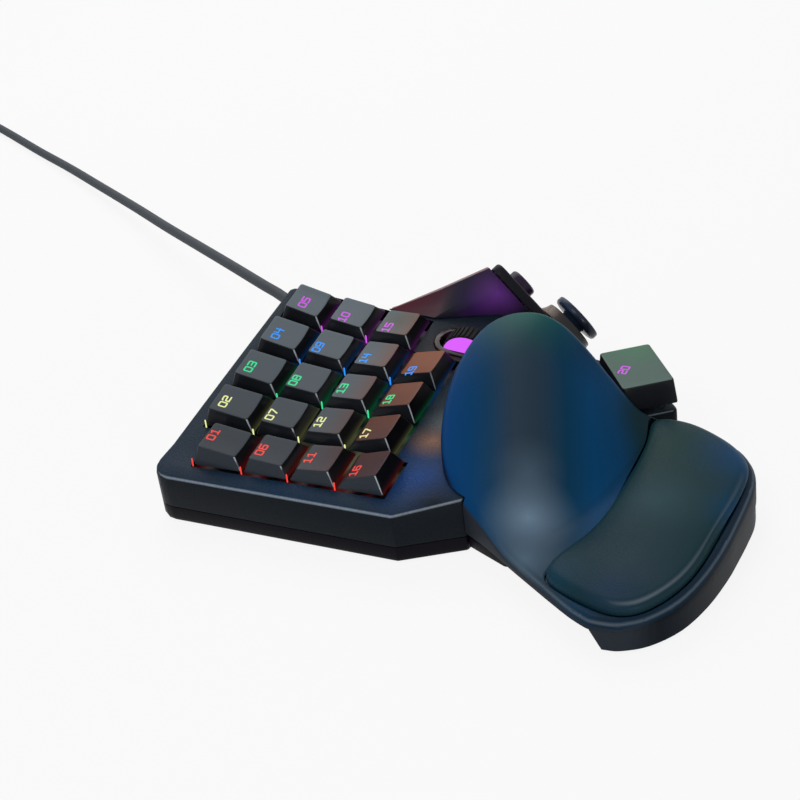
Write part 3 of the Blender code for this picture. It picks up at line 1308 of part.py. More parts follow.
def foot_skirt():
    """The wall that carries the palm rest's front edge down to the desk, slanted where it starts."""
    floor = PALM_FOOT_PAD_THICKNESS + CLEARANCE
    start = PALM_BACK - PALM_FOOT_START_SHARE * PALM_LENGTH
    full = PALM_BACK - PALM_FOOT_FULL_SHARE * PALM_LENGTH

    def low(x, y):
        return floor + (PALM_UNDERSIDE - floor) * min(max((y - full) / (start - full), 0), 1)
    corners = front_band(CLEARANCE, PALM_FOOT_WIDTH, PALM_FOOT_START_SHARE)
    return block("foot_skirt", corners, low, PALM_UNDERSIDE + PALM_WALL / 3, cell=0)


def make_palm_foot():
    """Rubber strip under the palm rest's front wall."""
    corners = front_band(WALL, PALM_FOOT_WIDTH - CLEARANCE * 2, PALM_FOOT_FULL_SHARE)
    mesh = block("palm_foot_strip", corners, 0.0, PALM_FOOT_PAD_THICKNESS, cell=0)
    add_object("palm_foot_strip", mesh, "rubber")


def rail_x(offset):
    return PALM_RIGHT - offset


def runner_front():
    return POD_BACK - MOUNT_REACH - RUNNER_GAP


def runner_blocks():
    """Webs inside the shell that hold the runners."""
    pieces = []
    top = RAIL_UNDERSIDE + RAIL_THICKNESS + RAIL_GAP + RUNNER_WALL
    for offset in RAIL_OFFSETS:
        x = rail_x(offset)
        y = runner_front() - RUNNER_LENGTH / 2
        roof = min(palm_height(x + i * RUNNER_WALL, y + j * RUNNER_WALL) for i in (-1, 1) for j in (-1, 1))
        roof -= PALM_WALL * 2 / 3
        pieces.append((box("web", (x - RUNNER_WALL, y - RUNNER_WALL, top + CLEARANCE),
                           (x + RUNNER_WALL, y + RUNNER_WALL, roof)), Matrix.Identity(4)))
    return joined("webs", pieces)


def make_rails():
    low, high = RAIL_UNDERSIDE, RAIL_UNDERSIDE + RAIL_THICKNESS
    slots = []
    front = runner_front()
    for side, offset in zip(("right", "left"), RAIL_OFFSETS):
        x = rail_x(offset)
        y_root = BODY_FRONT + RAIL_ROOT - CLEARANCE
        rail = box(f"palm_rail_{side}", (x - RAIL_WIDTH / 2, y_root - RAIL_LENGTH, low),
                   (x + RAIL_WIDTH / 2, y_root, high))
        add_object(f"palm_rail_{side}", rail, "steel")
        bore = box("slot", (x - RAIL_WIDTH / 2 - RAIL_GAP, front - RUNNER_LENGTH - OVERRUN, low - RAIL_GAP),
                   (x + RAIL_WIDTH / 2 + RAIL_GAP, front + OVERRUN, high + RAIL_GAP))
        slots.append((bore, Matrix.Identity(4)))
    reach = RAIL_WIDTH / 2 + RAIL_GAP + RUNNER_WALL
    body = box("palm_runner", (rail_x(RAIL_OFFSETS[1]) - reach, front - RUNNER_LENGTH,
                               low - RAIL_GAP - RUNNER_WALL),
               (rail_x(RAIL_OFFSETS[0]) + reach, front, high + RAIL_GAP + RUNNER_WALL))
    runner = add_object("palm_runner", body, "base")
    add_boolean(runner, add_object("runner_slots", joined("runner_slots", slots), cutter=True))


def make_palm_mount():
    """Step below the palm rest that the base's front wall carries its rails over."""
    left = BASE_LEFT + CORNER_CUT_X
    back, front = POD_BACK - CLEARANCE, POD_BACK - MOUNT_REACH
    right = POD_LEFT - CLEARANCE - WALL
    corners = [(left, BODY_FRONT - CLEARANCE, 0), (right, back + FRONT_SKEW / 5, 0), (right, front, 0),
               (left - MOUNT_SPREAD, front, SMALL_CORNER_RADIUS)]
    mesh = block("palm_mount", corners, MOUNT_UNDERSIDE, RAIL_UNDERSIDE - CLEARANCE, cell=0)
    mount = add_object("palm_mount", mesh, "base")
    clear = block("mount_base_cut", inset(base_corners(), -CLEARANCE), -OVERRUN, BLOCK_HEIGHT, cell=0)
    add_boolean(mount, add_object("mount_base_cut", clear, cutter=True))


def make_cushion():
    """Padded leatherette rest with a crown and drawn-in sides."""
    outline = [palm_point(s) for s in PAD_OUTLINE_SHARES]
    seat = offset_outline(outline, CLEARANCE + PAD_EDGE_RADIUS / 3)
    belly = offset_outline(outline, CLEARANCE)
    middle = Vector((sum(p[0] for p in outline) / len(outline), sum(p[1] for p in outline) / len(outline)))
    floor = CLEARANCE - PAD_POCKET_DEPTH
    rings = [[(x, y, pad_plane(x, y) + floor) for x, y in seat],
             [(x, y, pad_plane(x, y) + floor / 2) for x, y in belly],
             [(x, y, pad_plane(x, y) + PAD_EDGE_RADIUS / 4) for x, y in belly]]
    for share in CUSHION_RINGS_SHARES:
        ring = []
        for x, y in belly:
            spot = middle + (Vector((x, y)) - middle) * share
            lift = PAD_CROWN * (1 - share ** 3)
            ring.append((spot.x, spot.y, pad_plane(spot.x, spot.y) + PAD_EDGE_RADIUS / 2 + lift))
        rings.append(ring)
    add_object("palm_cushion", loft("palm_cushion", rings), "leather")


# Cord

def gland_frame():
    """Matrix on the back right facet of the base, Z along the way the cord leaves."""
    first = Vector((BACK_RIGHT - GLAND_CUT_X, BASE_BACK, GLAND_HEIGHT))
    last = Vector((BACK_RIGHT, BASE_BACK - GLAND_CUT_Y, GLAND_HEIGHT))
    out = Vector((GLAND_CUT_Y, GLAND_CUT_X, 0)).normalized()
    side = Vector((0, 0, 1)).cross(out)
    turn = Matrix((side, out.cross(side), out)).transposed().to_4x4()
    return Matrix.Translation((first + last) / 2) @ turn


def make_gland():
    head = -WALL - CLEARANCE * 2
    profile = ((GLAND_HEAD_RADIUS, head - GLAND_HEAD_THICKNESS), (GLAND_HEAD_RADIUS, head),
               (GLAND_NECK_RADIUS, head), (GLAND_NECK_RADIUS, CLEARANCE), (GLAND_RADIUS, CLEARANCE),
               (GLAND_TIP_RADIUS, GLAND_LENGTH))
    place(add_object("cable_gland", capped_turning("cable_gland", profile, GLAND_SIDES), "rubber"), gland_frame())


def smooth_path(points, step):
    """Points a step apart along a Catmull-Rom curve through the given points."""
    dense = []
    padded = [points[0] * 2 - points[1]] + points + [points[-1] * 2 - points[-2]]
    for index in range(1, len(padded) - 2):
        p0, p1, p2, p3 = padded[index - 1:index + 3]
        for part in range(COIL_TURN_POINTS):
            t = part / COIL_TURN_POINTS
            dense.append(0.5 * (2 * p1 + (p2 - p0) * t + (2 * p0 - 5 * p1 + 4 * p2 - p3) * t * t
                                + (3 * p1 - p0 - 3 * p2 + p3) * t ** 3))
    dense.append(points[-1])
    total = sum((b - a).length for a, b in zip(dense, dense[1:]))
    count = max(int(round(total / step)), 2)
    path, travelled, wanted = [dense[0]], 0.0, total / count
    for a, b in zip(dense, dense[1:]):
        travelled += (b - a).length
        if travelled >= wanted * len(path) and len(path) < count:
            path.append(b)
    path.append(dense[-1])
    return path


def tube(name, points, resolution):
    """Tube along a poly line as a mesh object with welded caps."""
    curve = bpy.data.curves.new(name, "CURVE")
    curve.dimensions = "3D"
    curve.bevel_depth = CORD_RADIUS
    curve.bevel_resolution = resolution
    curve.use_fill_caps = True
    spline = curve.splines.new("POLY")
    spline.points.add(len(points) - 1)
    for spot, point in zip(spline.points, points):
        spot.co = (*point, 1)
    holder = bpy.data.objects.new(name, curve)
    bpy.context.scene.collection.objects.link(holder)
    depsgraph = bpy.context.evaluated_depsgraph_get()
    mesh = bpy.data.meshes.new_from_object(holder.evaluated_get(depsgraph))
    bpy.data.objects.remove(holder)
    bm = bmesh.new()
    bm.from_mesh(mesh)
    bmesh.ops.remove_doubles(bm, verts=bm.verts, dist=CORD_RADIUS / 100)
    bmesh.ops.recalc_face_normals(bm, faces=bm.faces)
    bm.to_mesh(mesh)
    bm.free()
    mesh.name = name
    return add_object(name, mesh, "cord")


def coil_points(start, heading):
    """Two layers of loops: in on the desk, half a turn up inside, and out on top."""
    across = 2 * CORD_RADIUS + COIL_GAP
    outer = COIL_MEAN_RADIUS + across * COIL_TURNS_PER_LAYER / 2
    inner = outer - across * COIL_TURNS_PER_LAYER
    side = Vector((-heading.y, heading.x, 0))
    centre = start + side * outer
    first = math.atan2(-side.y, -side.x)
    stations = []
    for step in range(COIL_TURNS_PER_LAYER * COIL_TURN_POINTS):
        stations.append((outer - across * step / COIL_TURN_POINTS, 0))
    climb = COIL_TURN_POINTS // 2
    for step in range(climb):
        bulge = across / 4 * math.sin(math.pi * step / climb)
        stations.append((inner - bulge, across * step / climb))
    for step in range(COIL_TURNS_PER_LAYER * COIL_TURN_POINTS + 1):
        stations.append((inner + across * step / COIL_TURN_POINTS, across))
    points = []
    for index, (radius, rise) in enumerate(stations):
        angle = first + math.tau * index / COIL_TURN_POINTS
        points.append(centre + Vector((radius * math.cos(angle), radius * math.sin(angle), rise)))
    return points


def least_gap(points):
    """Smallest gap between stretches of a tube that are more than half a turn apart."""
    skip = COIL_TURN_POINTS // 2
    best = None
    for i, a in enumerate(points):
        for b in points[i + skip:]:
            distance = (a - b).length - 2 * CORD_RADIUS
            best = distance if best is None or distance < best else best
    return best


def make_cord():
    frame = gland_frame()
    mouth = frame @ Vector((0, 0, GLAND_LENGTH + CLEARANCE))
    out = (frame @ Vector((0, 0, 1)) - frame @ Vector((0, 0, 0))).normalized()
    straight = mouth + out * 2 * CORD_RADIUS
    route = [Vector(p) for p in CORD_ROUTE]
    lead = [mouth] + smooth_path([straight] + route, CORD_STEP)
    heading = (route[-1] - route[-2]).normalized()
    heading.z = 0
    heading.normalize()
    end = lead[-1] + heading * 2 * CORD_RADIUS
    tube("cable_lead", lead + [end], 2)
    coil_start = end + heading * CLEARANCE
    first_turn = coil_start + heading * 2 * CORD_RADIUS
    loops = coil_points(first_turn, heading)
    last = loops[-1] - loops[-2]
    last.z = 0
    last.normalize()
    drop = loops[-1].z - PLUG_BODY_HEIGHT / 2 - CLEARANCE
    lead_out = []
    for step in range(1, PLUG_LEAD_POINTS + 1):
        share = step / PLUG_LEAD_POINTS
        fall = drop * (1 - math.cos(math.pi * share)) / 2
        lead_out.append(loops[-1] + last * PLUG_LEAD * share - Vector((0, 0, fall)))
    tail = lead_out[-1] + last * 2 * CORD_RADIUS
    coil = [coil_start] + loops + lead_out + [tail]
    print("coil's least gap to itself:", round(least_gap(coil[1:-1]) * 1000, 2), "mm")
    length = sum((b - a).length for a, b in zip(lead + coil, (lead + coil)[1:]))
    print("cord length:", round(length, 3), "m")
    tube("cable_coil", coil, 1)
    make_plug(tail, last)


def make_plug(tail, heading):
    side = Vector((0, 0, 1)).cross(heading)
    turn = Matrix((heading, side, Vector((0, 0, 1)))).transposed().to_4x4()
    frame = Matrix.Translation(tail + heading * CLEARANCE) @ turn
    relief = Matrix.Rotation(math.radians(90), 4, "Y")
    body_start = PLUG_RELIEF_LENGTH - CLEARANCE
    body = box("plug_body", (body_start, -PLUG_BODY_WIDTH / 2, -PLUG_BODY_HEIGHT / 2),
               (body_start + PLUG_BODY_LENGTH, PLUG_BODY_WIDTH / 2, PLUG_BODY_HEIGHT / 2), PLUG_BEVEL)
    item = place(add_object("usb_plug_body", body, "base"), frame)
    neck = add_object("plug_relief", rod("relief", CORD_RADIUS * 1.3, 0, PLUG_RELIEF_LENGTH + PLUG_BEVEL * 2,
                                         GLAND_SIDES, top_radius=CORD_RADIUS * 1.6), cutter=True)
    add_boolean(item, place(neck, frame @ relief), "UNION")
    shell_start = body_start + PLUG_BODY_LENGTH + CLEARANCE
    shell = box("plug_shell", (shell_start, -PLUG_SHELL_WIDTH / 2, -PLUG_SHELL_HEIGHT / 2),
                (shell_start + PLUG_SHELL_LENGTH, PLUG_SHELL_WIDTH / 2, PLUG_SHELL_HEIGHT / 2))
    metal = place(add_object("usb_plug_shell", shell, "steel"), frame)
    wall = CLEARANCE * 1.5
    mouth = box("mouth", (shell_start + wall * 4, -PLUG_SHELL_WIDTH / 2 + wall, -PLUG_SHELL_HEIGHT / 2 + wall),
                (shell_start + PLUG_SHELL_LENGTH + OVERRUN, PLUG_SHELL_WIDTH / 2 - wall,
                 PLUG_SHELL_HEIGHT / 2 - wall))
    add_boolean(metal, place(add_object("plug_mouth", mouth, cutter=True), frame))


def footprint_centre():
    """Middle of the plan of everything but the free cord."""
    depsgraph = bpy.context.evaluated_depsgraph_get()
    spots = []
    for item in PARTS.objects:
        if item.name.startswith(FREE_CORD):
            continue
        mesh = bpy.data.meshes.new_from_object(item.evaluated_get(depsgraph))
        spots += [item.matrix_world @ vert.co for vert in mesh.vertices]
    middle = [(min(p[axis] for p in spots) + max(p[axis] for p in spots)) / 2 for axis in (0, 1)]
    return Vector((*middle, 0))


def main():
    make_bottom_cover()
    make_top_cover()
    make_key_plate()
    make_dome_sheet()
    make_boards()
    make_feet_and_screws()
    make_keys()
    make_thumb_key()
    make_thumb_housing()
    make_wheel()
    make_wheel_carriage()
    make_wheel_bracket()
    make_wheel_bezel()
    make_wedge()
    make_thumb_panel()
    make_mode_button()
    make_thumb_pad()
    make_palm_shell()
    make_palm_foot()
    make_cushion()
    make_rails()
    make_palm_mount()
    make_gland()
    make_cord()
    shift = footprint_centre()
    for item in list(PARTS.objects) + list(CUTTERS.objects):
        item.location = item.location - shift
    print("origin shift:", [round(v * 1000, 3) for v in shift])
    return shift


ORIGIN = main()
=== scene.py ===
import json
from math import atan2, ceil, copysign, cos, floor, pi, radians, sin, tan, tanh, tau

import bmesh
import bpy
from mathutils import Matrix, Vector


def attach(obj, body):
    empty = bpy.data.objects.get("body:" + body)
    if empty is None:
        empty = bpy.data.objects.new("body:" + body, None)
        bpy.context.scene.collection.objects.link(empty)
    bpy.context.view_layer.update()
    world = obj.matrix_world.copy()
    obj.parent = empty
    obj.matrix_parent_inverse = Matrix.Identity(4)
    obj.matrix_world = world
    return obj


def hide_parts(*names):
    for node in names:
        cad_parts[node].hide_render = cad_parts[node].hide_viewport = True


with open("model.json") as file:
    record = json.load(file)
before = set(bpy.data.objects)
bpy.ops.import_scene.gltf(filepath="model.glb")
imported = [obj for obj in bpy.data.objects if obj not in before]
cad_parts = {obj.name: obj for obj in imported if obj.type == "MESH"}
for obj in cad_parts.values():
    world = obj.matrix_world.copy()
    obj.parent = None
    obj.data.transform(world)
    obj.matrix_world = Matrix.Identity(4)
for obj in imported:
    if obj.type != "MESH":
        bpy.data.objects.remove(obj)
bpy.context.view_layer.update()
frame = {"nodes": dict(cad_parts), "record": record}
record = frame["record"]
bodyOfNode = {node: body for body, group in record["behaviour"]["bodies"].items() for node in group}
keyOne = Vector((-0.038625, 0.082589, 0))  # desk point under key 01's column and the first row
print("frame loaded")


def spot(x, y, z):  # from millimetres, measured from keyOne
    return keyOne + Vector((x, y, z)) / 1000


def held(value):  # between 0 and 1
    return min(max(value, 0), 1)


def unit(x, y, z):
    return Vector((x, y, z)).normalized()


def leftOf(way):
    return Vector((-way.y, way.x))


def lengthOf(points):
    return sum((b - a).length for a, b in zip(points, points[1:]))


def around(points):  # each point of a closed line, between the one before it and the one after it
    return [(points[k - 1], here, points[(k + 1) % len(points)]) for k, here in enumerate(points)]


def turnTo(*axes):  # the turn that takes x, y and z to these directions
    return Matrix(axes).transposed().to_4x4()


def inScene(data, name="holder"):
    made = bpy.data.objects.new(name, data)
    bpy.context.scene.collection.objects.link(made)
    return made


view = {"place": (-0.445625, -0.235611, 0.3196), "right": (0.4438, -0.8876, -0.1231),
        "down": (-0.4883, -0.1244, -0.8638), "lens": 73.65, "sensor": 36, "nearest": 0.01}


def placeCamera():
    right, up = unit(*view["right"]), -unit(*view["down"])
    back = right.cross(up).normalized()
    data = bpy.data.cameras.new("camera")
    data.lens, data.sensor_width, data.clip_start = view["lens"], view["sensor"], view["nearest"]
    camera = inScene(data, "camera")
    turn = turnTo(right, back.cross(right).normalized(), back)
    camera.matrix_world = Matrix.Translation(view["place"]) @ turn
    bpy.context.scene.camera = camera


placeCamera()


# Shader wiring: a socket that takes plain arithmetic
class Wire:
    def __init__(self, tree, socket):
        self.tree, self.socket = tree, socket

    def math(self, operation, *values):
        inputs = {f"i{index}": value for index, value in enumerate(values)}
        return addNode(self.tree, "ShaderNodeMath", {"operation": operation}, **inputs)

    def __neg__(self):
        return self.math("MULTIPLY", self, -1)

    def __pow__(self, other):
        return self.math("POWER", self, other)

    def __abs__(self):
        return self.math("ABSOLUTE", self)

    def clamp(self):
        clamped = self.math("ADD", self, 0)
        clamped.socket.node.use_clamp = True
        return clamped

    def between(self, start, end):
        return ((self - start) / (end - start)).clamp()


def overload(name, operation):
    setattr(Wire, f"__{name}__", lambda self, other: self.math(operation, self, other))
    setattr(Wire, f"__r{name}__", lambda self, other: self.math(operation, other, self))


for name, operation in (("add", "ADD"), ("sub", "SUBTRACT"), ("mul", "MULTIPLY"), ("truediv", "DIVIDE")):
    overload(name, operation)


def plug(tree, value, slot):
    if isinstance(value, Wire):
        tree.links.new(value.socket, slot)
    elif isinstance(value, tuple) and slot.type == "RGBA":
        slot.default_value = (*value, 1)
    else:
        slot.default_value = value


def addNode(tree, kind, settings=None, output=0, **values):
    node = tree.nodes.new(kind)
    for name, value in (settings or {}).items():
        if name == "stops":
            ramp = node.color_ramp
            while len(ramp.elements) < len(value):
                ramp.elements.new(0.5)
            for element, (where, colour) in zip(ramp.elements, value):
                element.position = where
                element.color = (*colour, 1)
        else:
            setattr(node, name, value)
    for name, value in values.items():  # i0, i1 and so on are inputs by number
        slot = int(name[1:]) if name[1:].isdigit() else name.replace("_", " ")
        plug(tree, value, node.inputs[slot])
    return Wire(tree, node.outputs[output])


class Finish:
    def __init__(self, name, **sockets):
        self.material = bpy.data.materials.new(name)
        self.material.use_nodes = True
        self.tree = self.material.node_tree
        for socket, value in sockets.items():
            self.set(socket.replace("_", " "), value)
        place = self.tree.nodes.new("ShaderNodeTexCoord")
        self.place, self.facing = (Wire(self.tree, place.outputs[name]) for name in ("Object", "Normal"))

    def set(self, socket, value):
        plug(self.tree, value, self.tree.nodes["Principled BSDF"].inputs[socket])

    def done(self, colour, roughness, *bump):
        self.set("Base Color", colour)
        self.set("Roughness", roughness)
        if bump:
            settings = dict(zip(("Height", "Strength", "Distance"), bump))
            self.set("Normal", self.node("ShaderNodeBump", **settings))
        return self.material

    def node(self, kind, settings=None, output=0, **values):
        return addNode(self.tree, kind, settings, output, **values)

    def noise(self, scale, detail=2, roughness=0.5):
        return self.node("ShaderNodeTexNoise", Vector=self.place, Scale=scale, Detail=detail,
                         Roughness=roughness)

    def cells(self, scale):
        return self.node("ShaderNodeTexVoronoi", {"feature": "DISTANCE_TO_EDGE"}, Vector=self.place,
                         Scale=scale)

    def blend(self, mask, first, second, kind="MIX"):
        settings = {"data_type": "RGBA", "blend_type": kind}
        return self.node("ShaderNodeMix", settings, 2, i0=mask, i6=first, i7=second)

    def measure(self, operation, first, second):
        return self.node("ShaderNodeVectorMath", {"operation": operation}, 1, i0=first, i1=second)

    def near(self, centre, reach):
        return (1 - self.measure("DISTANCE", self.place, centre) / reach).clamp() ** 1.5

    def part(self, vector, axis):
        return self.node("ShaderNodeSeparateXYZ", None, axis, Vector=vector)

    def along(self, direction, start, end):
        share = self.measure("DOT_PRODUCT", self.place, direction)
        return (share - keyOne.dot(Vector(direction))).between(start / 1000, end / 1000)

    def towards(self, direction, start=0.955, end=0.985):
        return self.measure("DOT_PRODUCT", self.facing, direction).between(start, end)

    def crest(self, level, width):
        return (1 - abs(self.part(self.facing, 2) - level) / width).clamp()

    def upward(self, start=0.45, end=0.75):
        return self.part(self.facing, 2).between(start, end)

    def layered(self, base, *layers):  # masks and shades over a base, one after another
        for mask, shade in layers:
            base = self.blend(mask, base, shade)
        return base

    def tinted(self, base, tints):
        return self.layered(base, *((self.near(spot(*centre), reach / 1000) * share, tint)
                                    for tint, centre, reach, share in tints))


def times(colour, share):
    return tuple(part * share for part in colour)


# Finishes
def grainedPlastic(name, colour, shadedSideColour, roughness, grain, depth, tints=(), creases=()):
    finish = Finish(name, Specular_IOR_Level=0.07)
    broad, fine = finish.noise(22, 3), finish.noise(grain, 4, 0.6)
    # Side faces take their own colour, a painted shade where it is darker than the top; each crease adds a
    # painted highlight along an edge.
    base = finish.blend(finish.upward(), shadedSideColour, finish.tinted(colour, tints))
    base = finish.layered(base, *((finish.towards(way, 0.88, 0.96), shade) for way, shade in creases))
    speckle = finish.blend(fine, (0.55, 0.55, 0.55), (1.45, 1.45, 1.45))
    base = finish.blend(1, base, speckle, "MULTIPLY")
    return finish.done(base, roughness - 0.07 + broad * 0.14, fine, 0.35, depth)


def capPlastic(name, glow, top=None):
    finish = Finish(name, Specular_IOR_Level=0.08, Coat_Weight=0.08, Coat_Roughness=0.13)
    wear = finish.noise(140, 3)
    # The tops carry painted light: a given top (the thumb key's) is painted coloured light; otherwise lighter
    # towards +X as a painted sheen, warmer on the rows nearest the palm rest as painted coloured light, with a
    # painted highlight patch near key 15.
    if top:
        topWithPaintedLight = finish.tinted(*top)
    else:
        alongX = finish.along((1, 0, 0), 0, 75)
        cool = finish.blend(alongX, (0.024, 0.033, 0.044), (0.14, 0.175, 0.205))
        warm = finish.blend(alongX, (0.036, 0.002, 0.006), (0.3, 0.072, 0.01))
        topWithPaintedLight = finish.tinted(finish.blend(finish.along((0, -1, 0), 36, 52), cool, warm), (
            ((0.08, 0.08, 0.05), (75, -38, 42), 20, 0.7),))
    # Painted shade: side faces darker than the tops, the -Y sides near black, and the -X fronts lighter only on
    # the first column.
    sideways = (-finish.part(finish.facing, 1)).between(0.5, 0.8)
    fronts = finish.blend(finish.along((1, 0, 0), 2, 8), (0.03, 0.04, 0.054), (0.009, 0.011, 0.015))
    sides = finish.blend(sideways, fronts, (0.002, 0.002, 0.003))
    base = finish.blend(finish.upward(0.75, 0.92), sides, topWithPaintedLight)
    # A painted highlight on the rounded (-X, -Y) corner edges of the coloured caps.
    if not top:
        base = finish.blend(finish.towards((-0.71, -0.62, 0.33)), base, (0.46, 0.5, 0.56))
    # Painted LED glow on the side faces, fading upwards from the deck.
    if glow:
        rise = (finish.part(finish.place, 2) - deckGround(finish)) * 1000
        lit = sideways * ((1 - rise / 3.5).clamp() ** 3)
        finish.set("Emission Color", finish.blend(lit, (0, 0, 0), glow))
        finish.set("Emission Strength", 0.09)
    base = finish.blend(wear * 0.08, base, (0.06, 0.064, 0.072))
    return finish.done(base, 0.3 + wear * 0.1, finish.noise(1500, 3), 0.12, 0.0002)


def deckGround(finish):
    x = finish.part(finish.place, 0) - keyOne.x
    y = finish.part(finish.place, 1) - spot(0, deckShape["flatY"], 0).y
    twist = x.math("MAXIMUM", x, 0) * y * (deckShape["twist"] * 1000)
    return x * tan(deckShape["tilt"]) + twist + deckShape["height"] / 1000


paintedDomeReflections = (  # painted coloured reflections across the dome, from the key side to the thumb side
    (0, (0, 0.058, 0.215)), (0.12, (0, 0.052, 0.165)), (0.21, (0.006, 0.048, 0.115)),
    (0.32, (0.03, 0.05, 0.078)), (0.44, (0.024, 0.046, 0.074)), (0.56, (0.002, 0.044, 0.1)),
    (0.69, (0, 0.06, 0.175)), (0.82, (0, 0.05, 0.14)), (0.93, (0, 0.024, 0.04)),
    (1, (0.002, 0.016, 0.018)))


def domePlastic():
    finish = Finish("softTouchPlastic", Specular_IOR_Level=0.07)
    tone = finish.noise(9, 2)
    across = finish.along((0.4438, -0.8876, -0.1231), 78, 150)
    base = finish.tinted(finish.node("ShaderNodeValToRGB", {"stops": paintedDomeReflections}, Fac=across), (
        # Painted tints: a green reflection on top, darker patches towards the thumb side, and three pale
        # patches low on the near side as a painted highlight.
        ((0, 0.11, 0.085), (60, -100, 59), 26, 1),
        ((0, 0.018, 0.04), (58, -121, 49), 18, 0.7),
        ((0, 0.014, 0.016), (54, -141, 26), 14, 0.8),
        ((0.11, 0.17, 0.235), (10, -117, 27), 14, 0.6),
        ((0.215, 0.325, 0.445), (-3, -122, 18), 18, 0.9),
        ((0.1, 0.18, 0.26), (-19, -127, 13), 16, 0.8),
    ))
    # Painted shade: the side walls are near black, lighter where they face -X; the colour also turns dark blue
    # towards the -Y end.
    inwards = (-finish.part(finish.facing, 0)).between(0.6, 0.9)
    sides = finish.blend(inwards, (0.001, 0.002, 0.004), (0.026, 0.031, 0.04))
    base = finish.blend(finish.along((0, -1, 0), 148, 160), base, (0.006, 0.02, 0.04))
    base = finish.blend(finish.upward(0.22, 0.45), sides, base)
    # rimShine is a painted highlight along the crest of the low rim's round.
    lowRim = (finish.along((-1, 0, 0), 6, 14) + finish.along((0, -1, 0), 162, 172)).clamp()
    rimShine = finish.crest(0.66, 0.16) * lowRim * finish.along((0, -1, 0), 114, 126) * 0.8
    base = finish.layered(base, (rimShine, (0.115, 0.15, 0.19)), (tone * 0.15, (0.004, 0.03, 0.06)))
    return finish.done(base, 0.4 + tone * 0.1, finish.noise(2600, 2), 0.08, 0.0002)


def leatherette():
    finish = Finish("leatherette", Specular_IOR_Level=0.07)
    # The tints are painted coloured reflections of green and blue light.
    base = finish.tinted((0.006, 0.034, 0.044), (
        ((0, 0.032, 0.03), (43, -158, 23), 30, 1),
        ((0.016, 0.066, 0.082), (13, -161, 22), 20, 0.9),
        ((0, 0.024, 0.04), (-10, -148, 19), 24, 1),
        ((0.026, 0.047, 0.074), (-23, -168, 17), 24, 0.7),
        ((0, 0.062, 0.2), (48, -183, 22), 26, 1),
        ((0, 0.056, 0.15), (18, -187, 20), 16, 0.9),
        ((0.008, 0.05, 0.1), (-27, -142, 14), 14, 0.8),
        ((0.012, 0.036, 0.09), (-30, -160, 16), 14, 0.7),
    ))
    # A painted highlight along the crest of the outer rounded edge.
    outer = finish.towards((-0.46, -0.44, 0.77), 0.86, 1)
    base = finish.blend(finish.crest(0.8, 0.13) * outer * 0.7, base, (0.19, 0.225, 0.27))
    tone = finish.noise(14, 3)
    creases = (finish.cells(900) * 6).clamp()
    grain = creases * 0.6 + finish.noise(2400) * 0.4
    base = finish.blend(tone * 0.2, base, (0.004, 0.024, 0.034))
    return finish.done(base, 0.46 - creases * 0.08, grain, 0.25, 0.00015)


def glossPlastic(name, colour, tints=(), coat=0.3, paintedTopLight=None):
    finish = Finish(name, Specular_IOR_Level=0.16, Coat_Weight=coat, Coat_Roughness=0.12, Coat_IOR=1.25)
    base = finish.tinted(finish.blend(finish.noise(30), times(colour, 0.9), times(colour, 1.15)), tints)
    # Upward faces may take a painted light.
    if paintedTopLight:
        base = finish.blend(finish.upward(0.45, 0.7), base, paintedTopLight)
    return finish.done(base, 0.26 + finish.noise(60, 4) * 0.1)


def plainRubber(name, colour, gloss=0.14):
    finish = Finish(name, Specular_IOR_Level=gloss)
    tone = finish.noise(260, 3)
    base = finish.blend(tone, times(colour, 0.8), times(colour, 1.25))
    return finish.done(base, 0.62 + tone * 0.16, finish.noise(900, 3), 0.3, 0.0002)


def brushedSteel():
    finish = Finish("brushedSteel", Metallic=1)
    stretched = finish.node("ShaderNodeMapping", Vector=finish.place, Scale=(1, 60, 1))
    streak = finish.node("ShaderNodeTexNoise", Scale=40, Detail=4, Vector=stretched)
    return finish.done(finish.blend(streak, (0.42, 0.43, 0.45), (0.62, 0.63, 0.66)), 0.24 + streak * 0.16)


def circuitBoard():
    finish = Finish("circuitBoard", Specular_IOR_Level=0.4)
    lines = 1 - (finish.cells(260) * 10).clamp()
    return finish.done(finish.blend(lines, (0.01, 0.075, 0.03), (0.03, 0.16, 0.07)), 0.45 - lines * 0.15)


def litPlastic(name, colour, strength, above=None):
    finish = Finish(name, Specular_IOR_Level=0.1, Emission_Strength=strength)
    tone = finish.noise(420)
    glow = finish.blend(tone * 0.15, colour, tuple(min(part * 1.4 + 0.1, 1) for part in colour))
    if above:
        height = finish.part(finish.place, 2) * 1000
        glow = finish.blend(height.between(above, above + 2), (0, 0, 0), glow)
    finish.set("Emission Color", glow)
    return finish.done(finish.blend(tone, times(colour, 0.12), times(colour, 0.18)), 0.35)


lightColours = {
    "red": (0.86, 0.05, 0.036),
    "cream": (0.8, 0.84, 0.34),
    "green": (0.03, 0.7, 0.27),
    "blue": (0.02, 0.28, 0.95),
    "purple": (0.6, 0.09, 0.76),
}
columnColours = ["red", "cream", "green", "blue", "purple"]
keyPitch = {"x": 18.7113, "y": 19, "stagger": 5.3}
deckShape = {"height": 22.5, "tilt": radians(10), "twist": 0.0015, "flatY": -49.97}


def glowPlate():
    finish = Finish("keyPlateGlow", Emission_Strength=0.08)
    # Painted LED glow on the key plate, in each column's colour, in random patches.
    x = (finish.part(finish.place, 0) - spot(-12, 0, 0).x) / (len(columnColours) * keyPitch["x"] / 1000)
    stops = [(index * 0.2 + edge, lightColours[name]) for index, name in enumerate(columnColours)
             for edge in (0.03, 0.15)]
    colours = finish.node("ShaderNodeValToRGB", {"stops": stops}, Fac=x.clamp())
    paintedGlowPatches = ((finish.noise(110, 1) - 0.42) * 3).clamp()
    finish.set("Emission Color", finish.blend(paintedGlowPatches, (0, 0, 0), colours))
    return finish.done((0.01, 0.01, 0.012), 0.5)


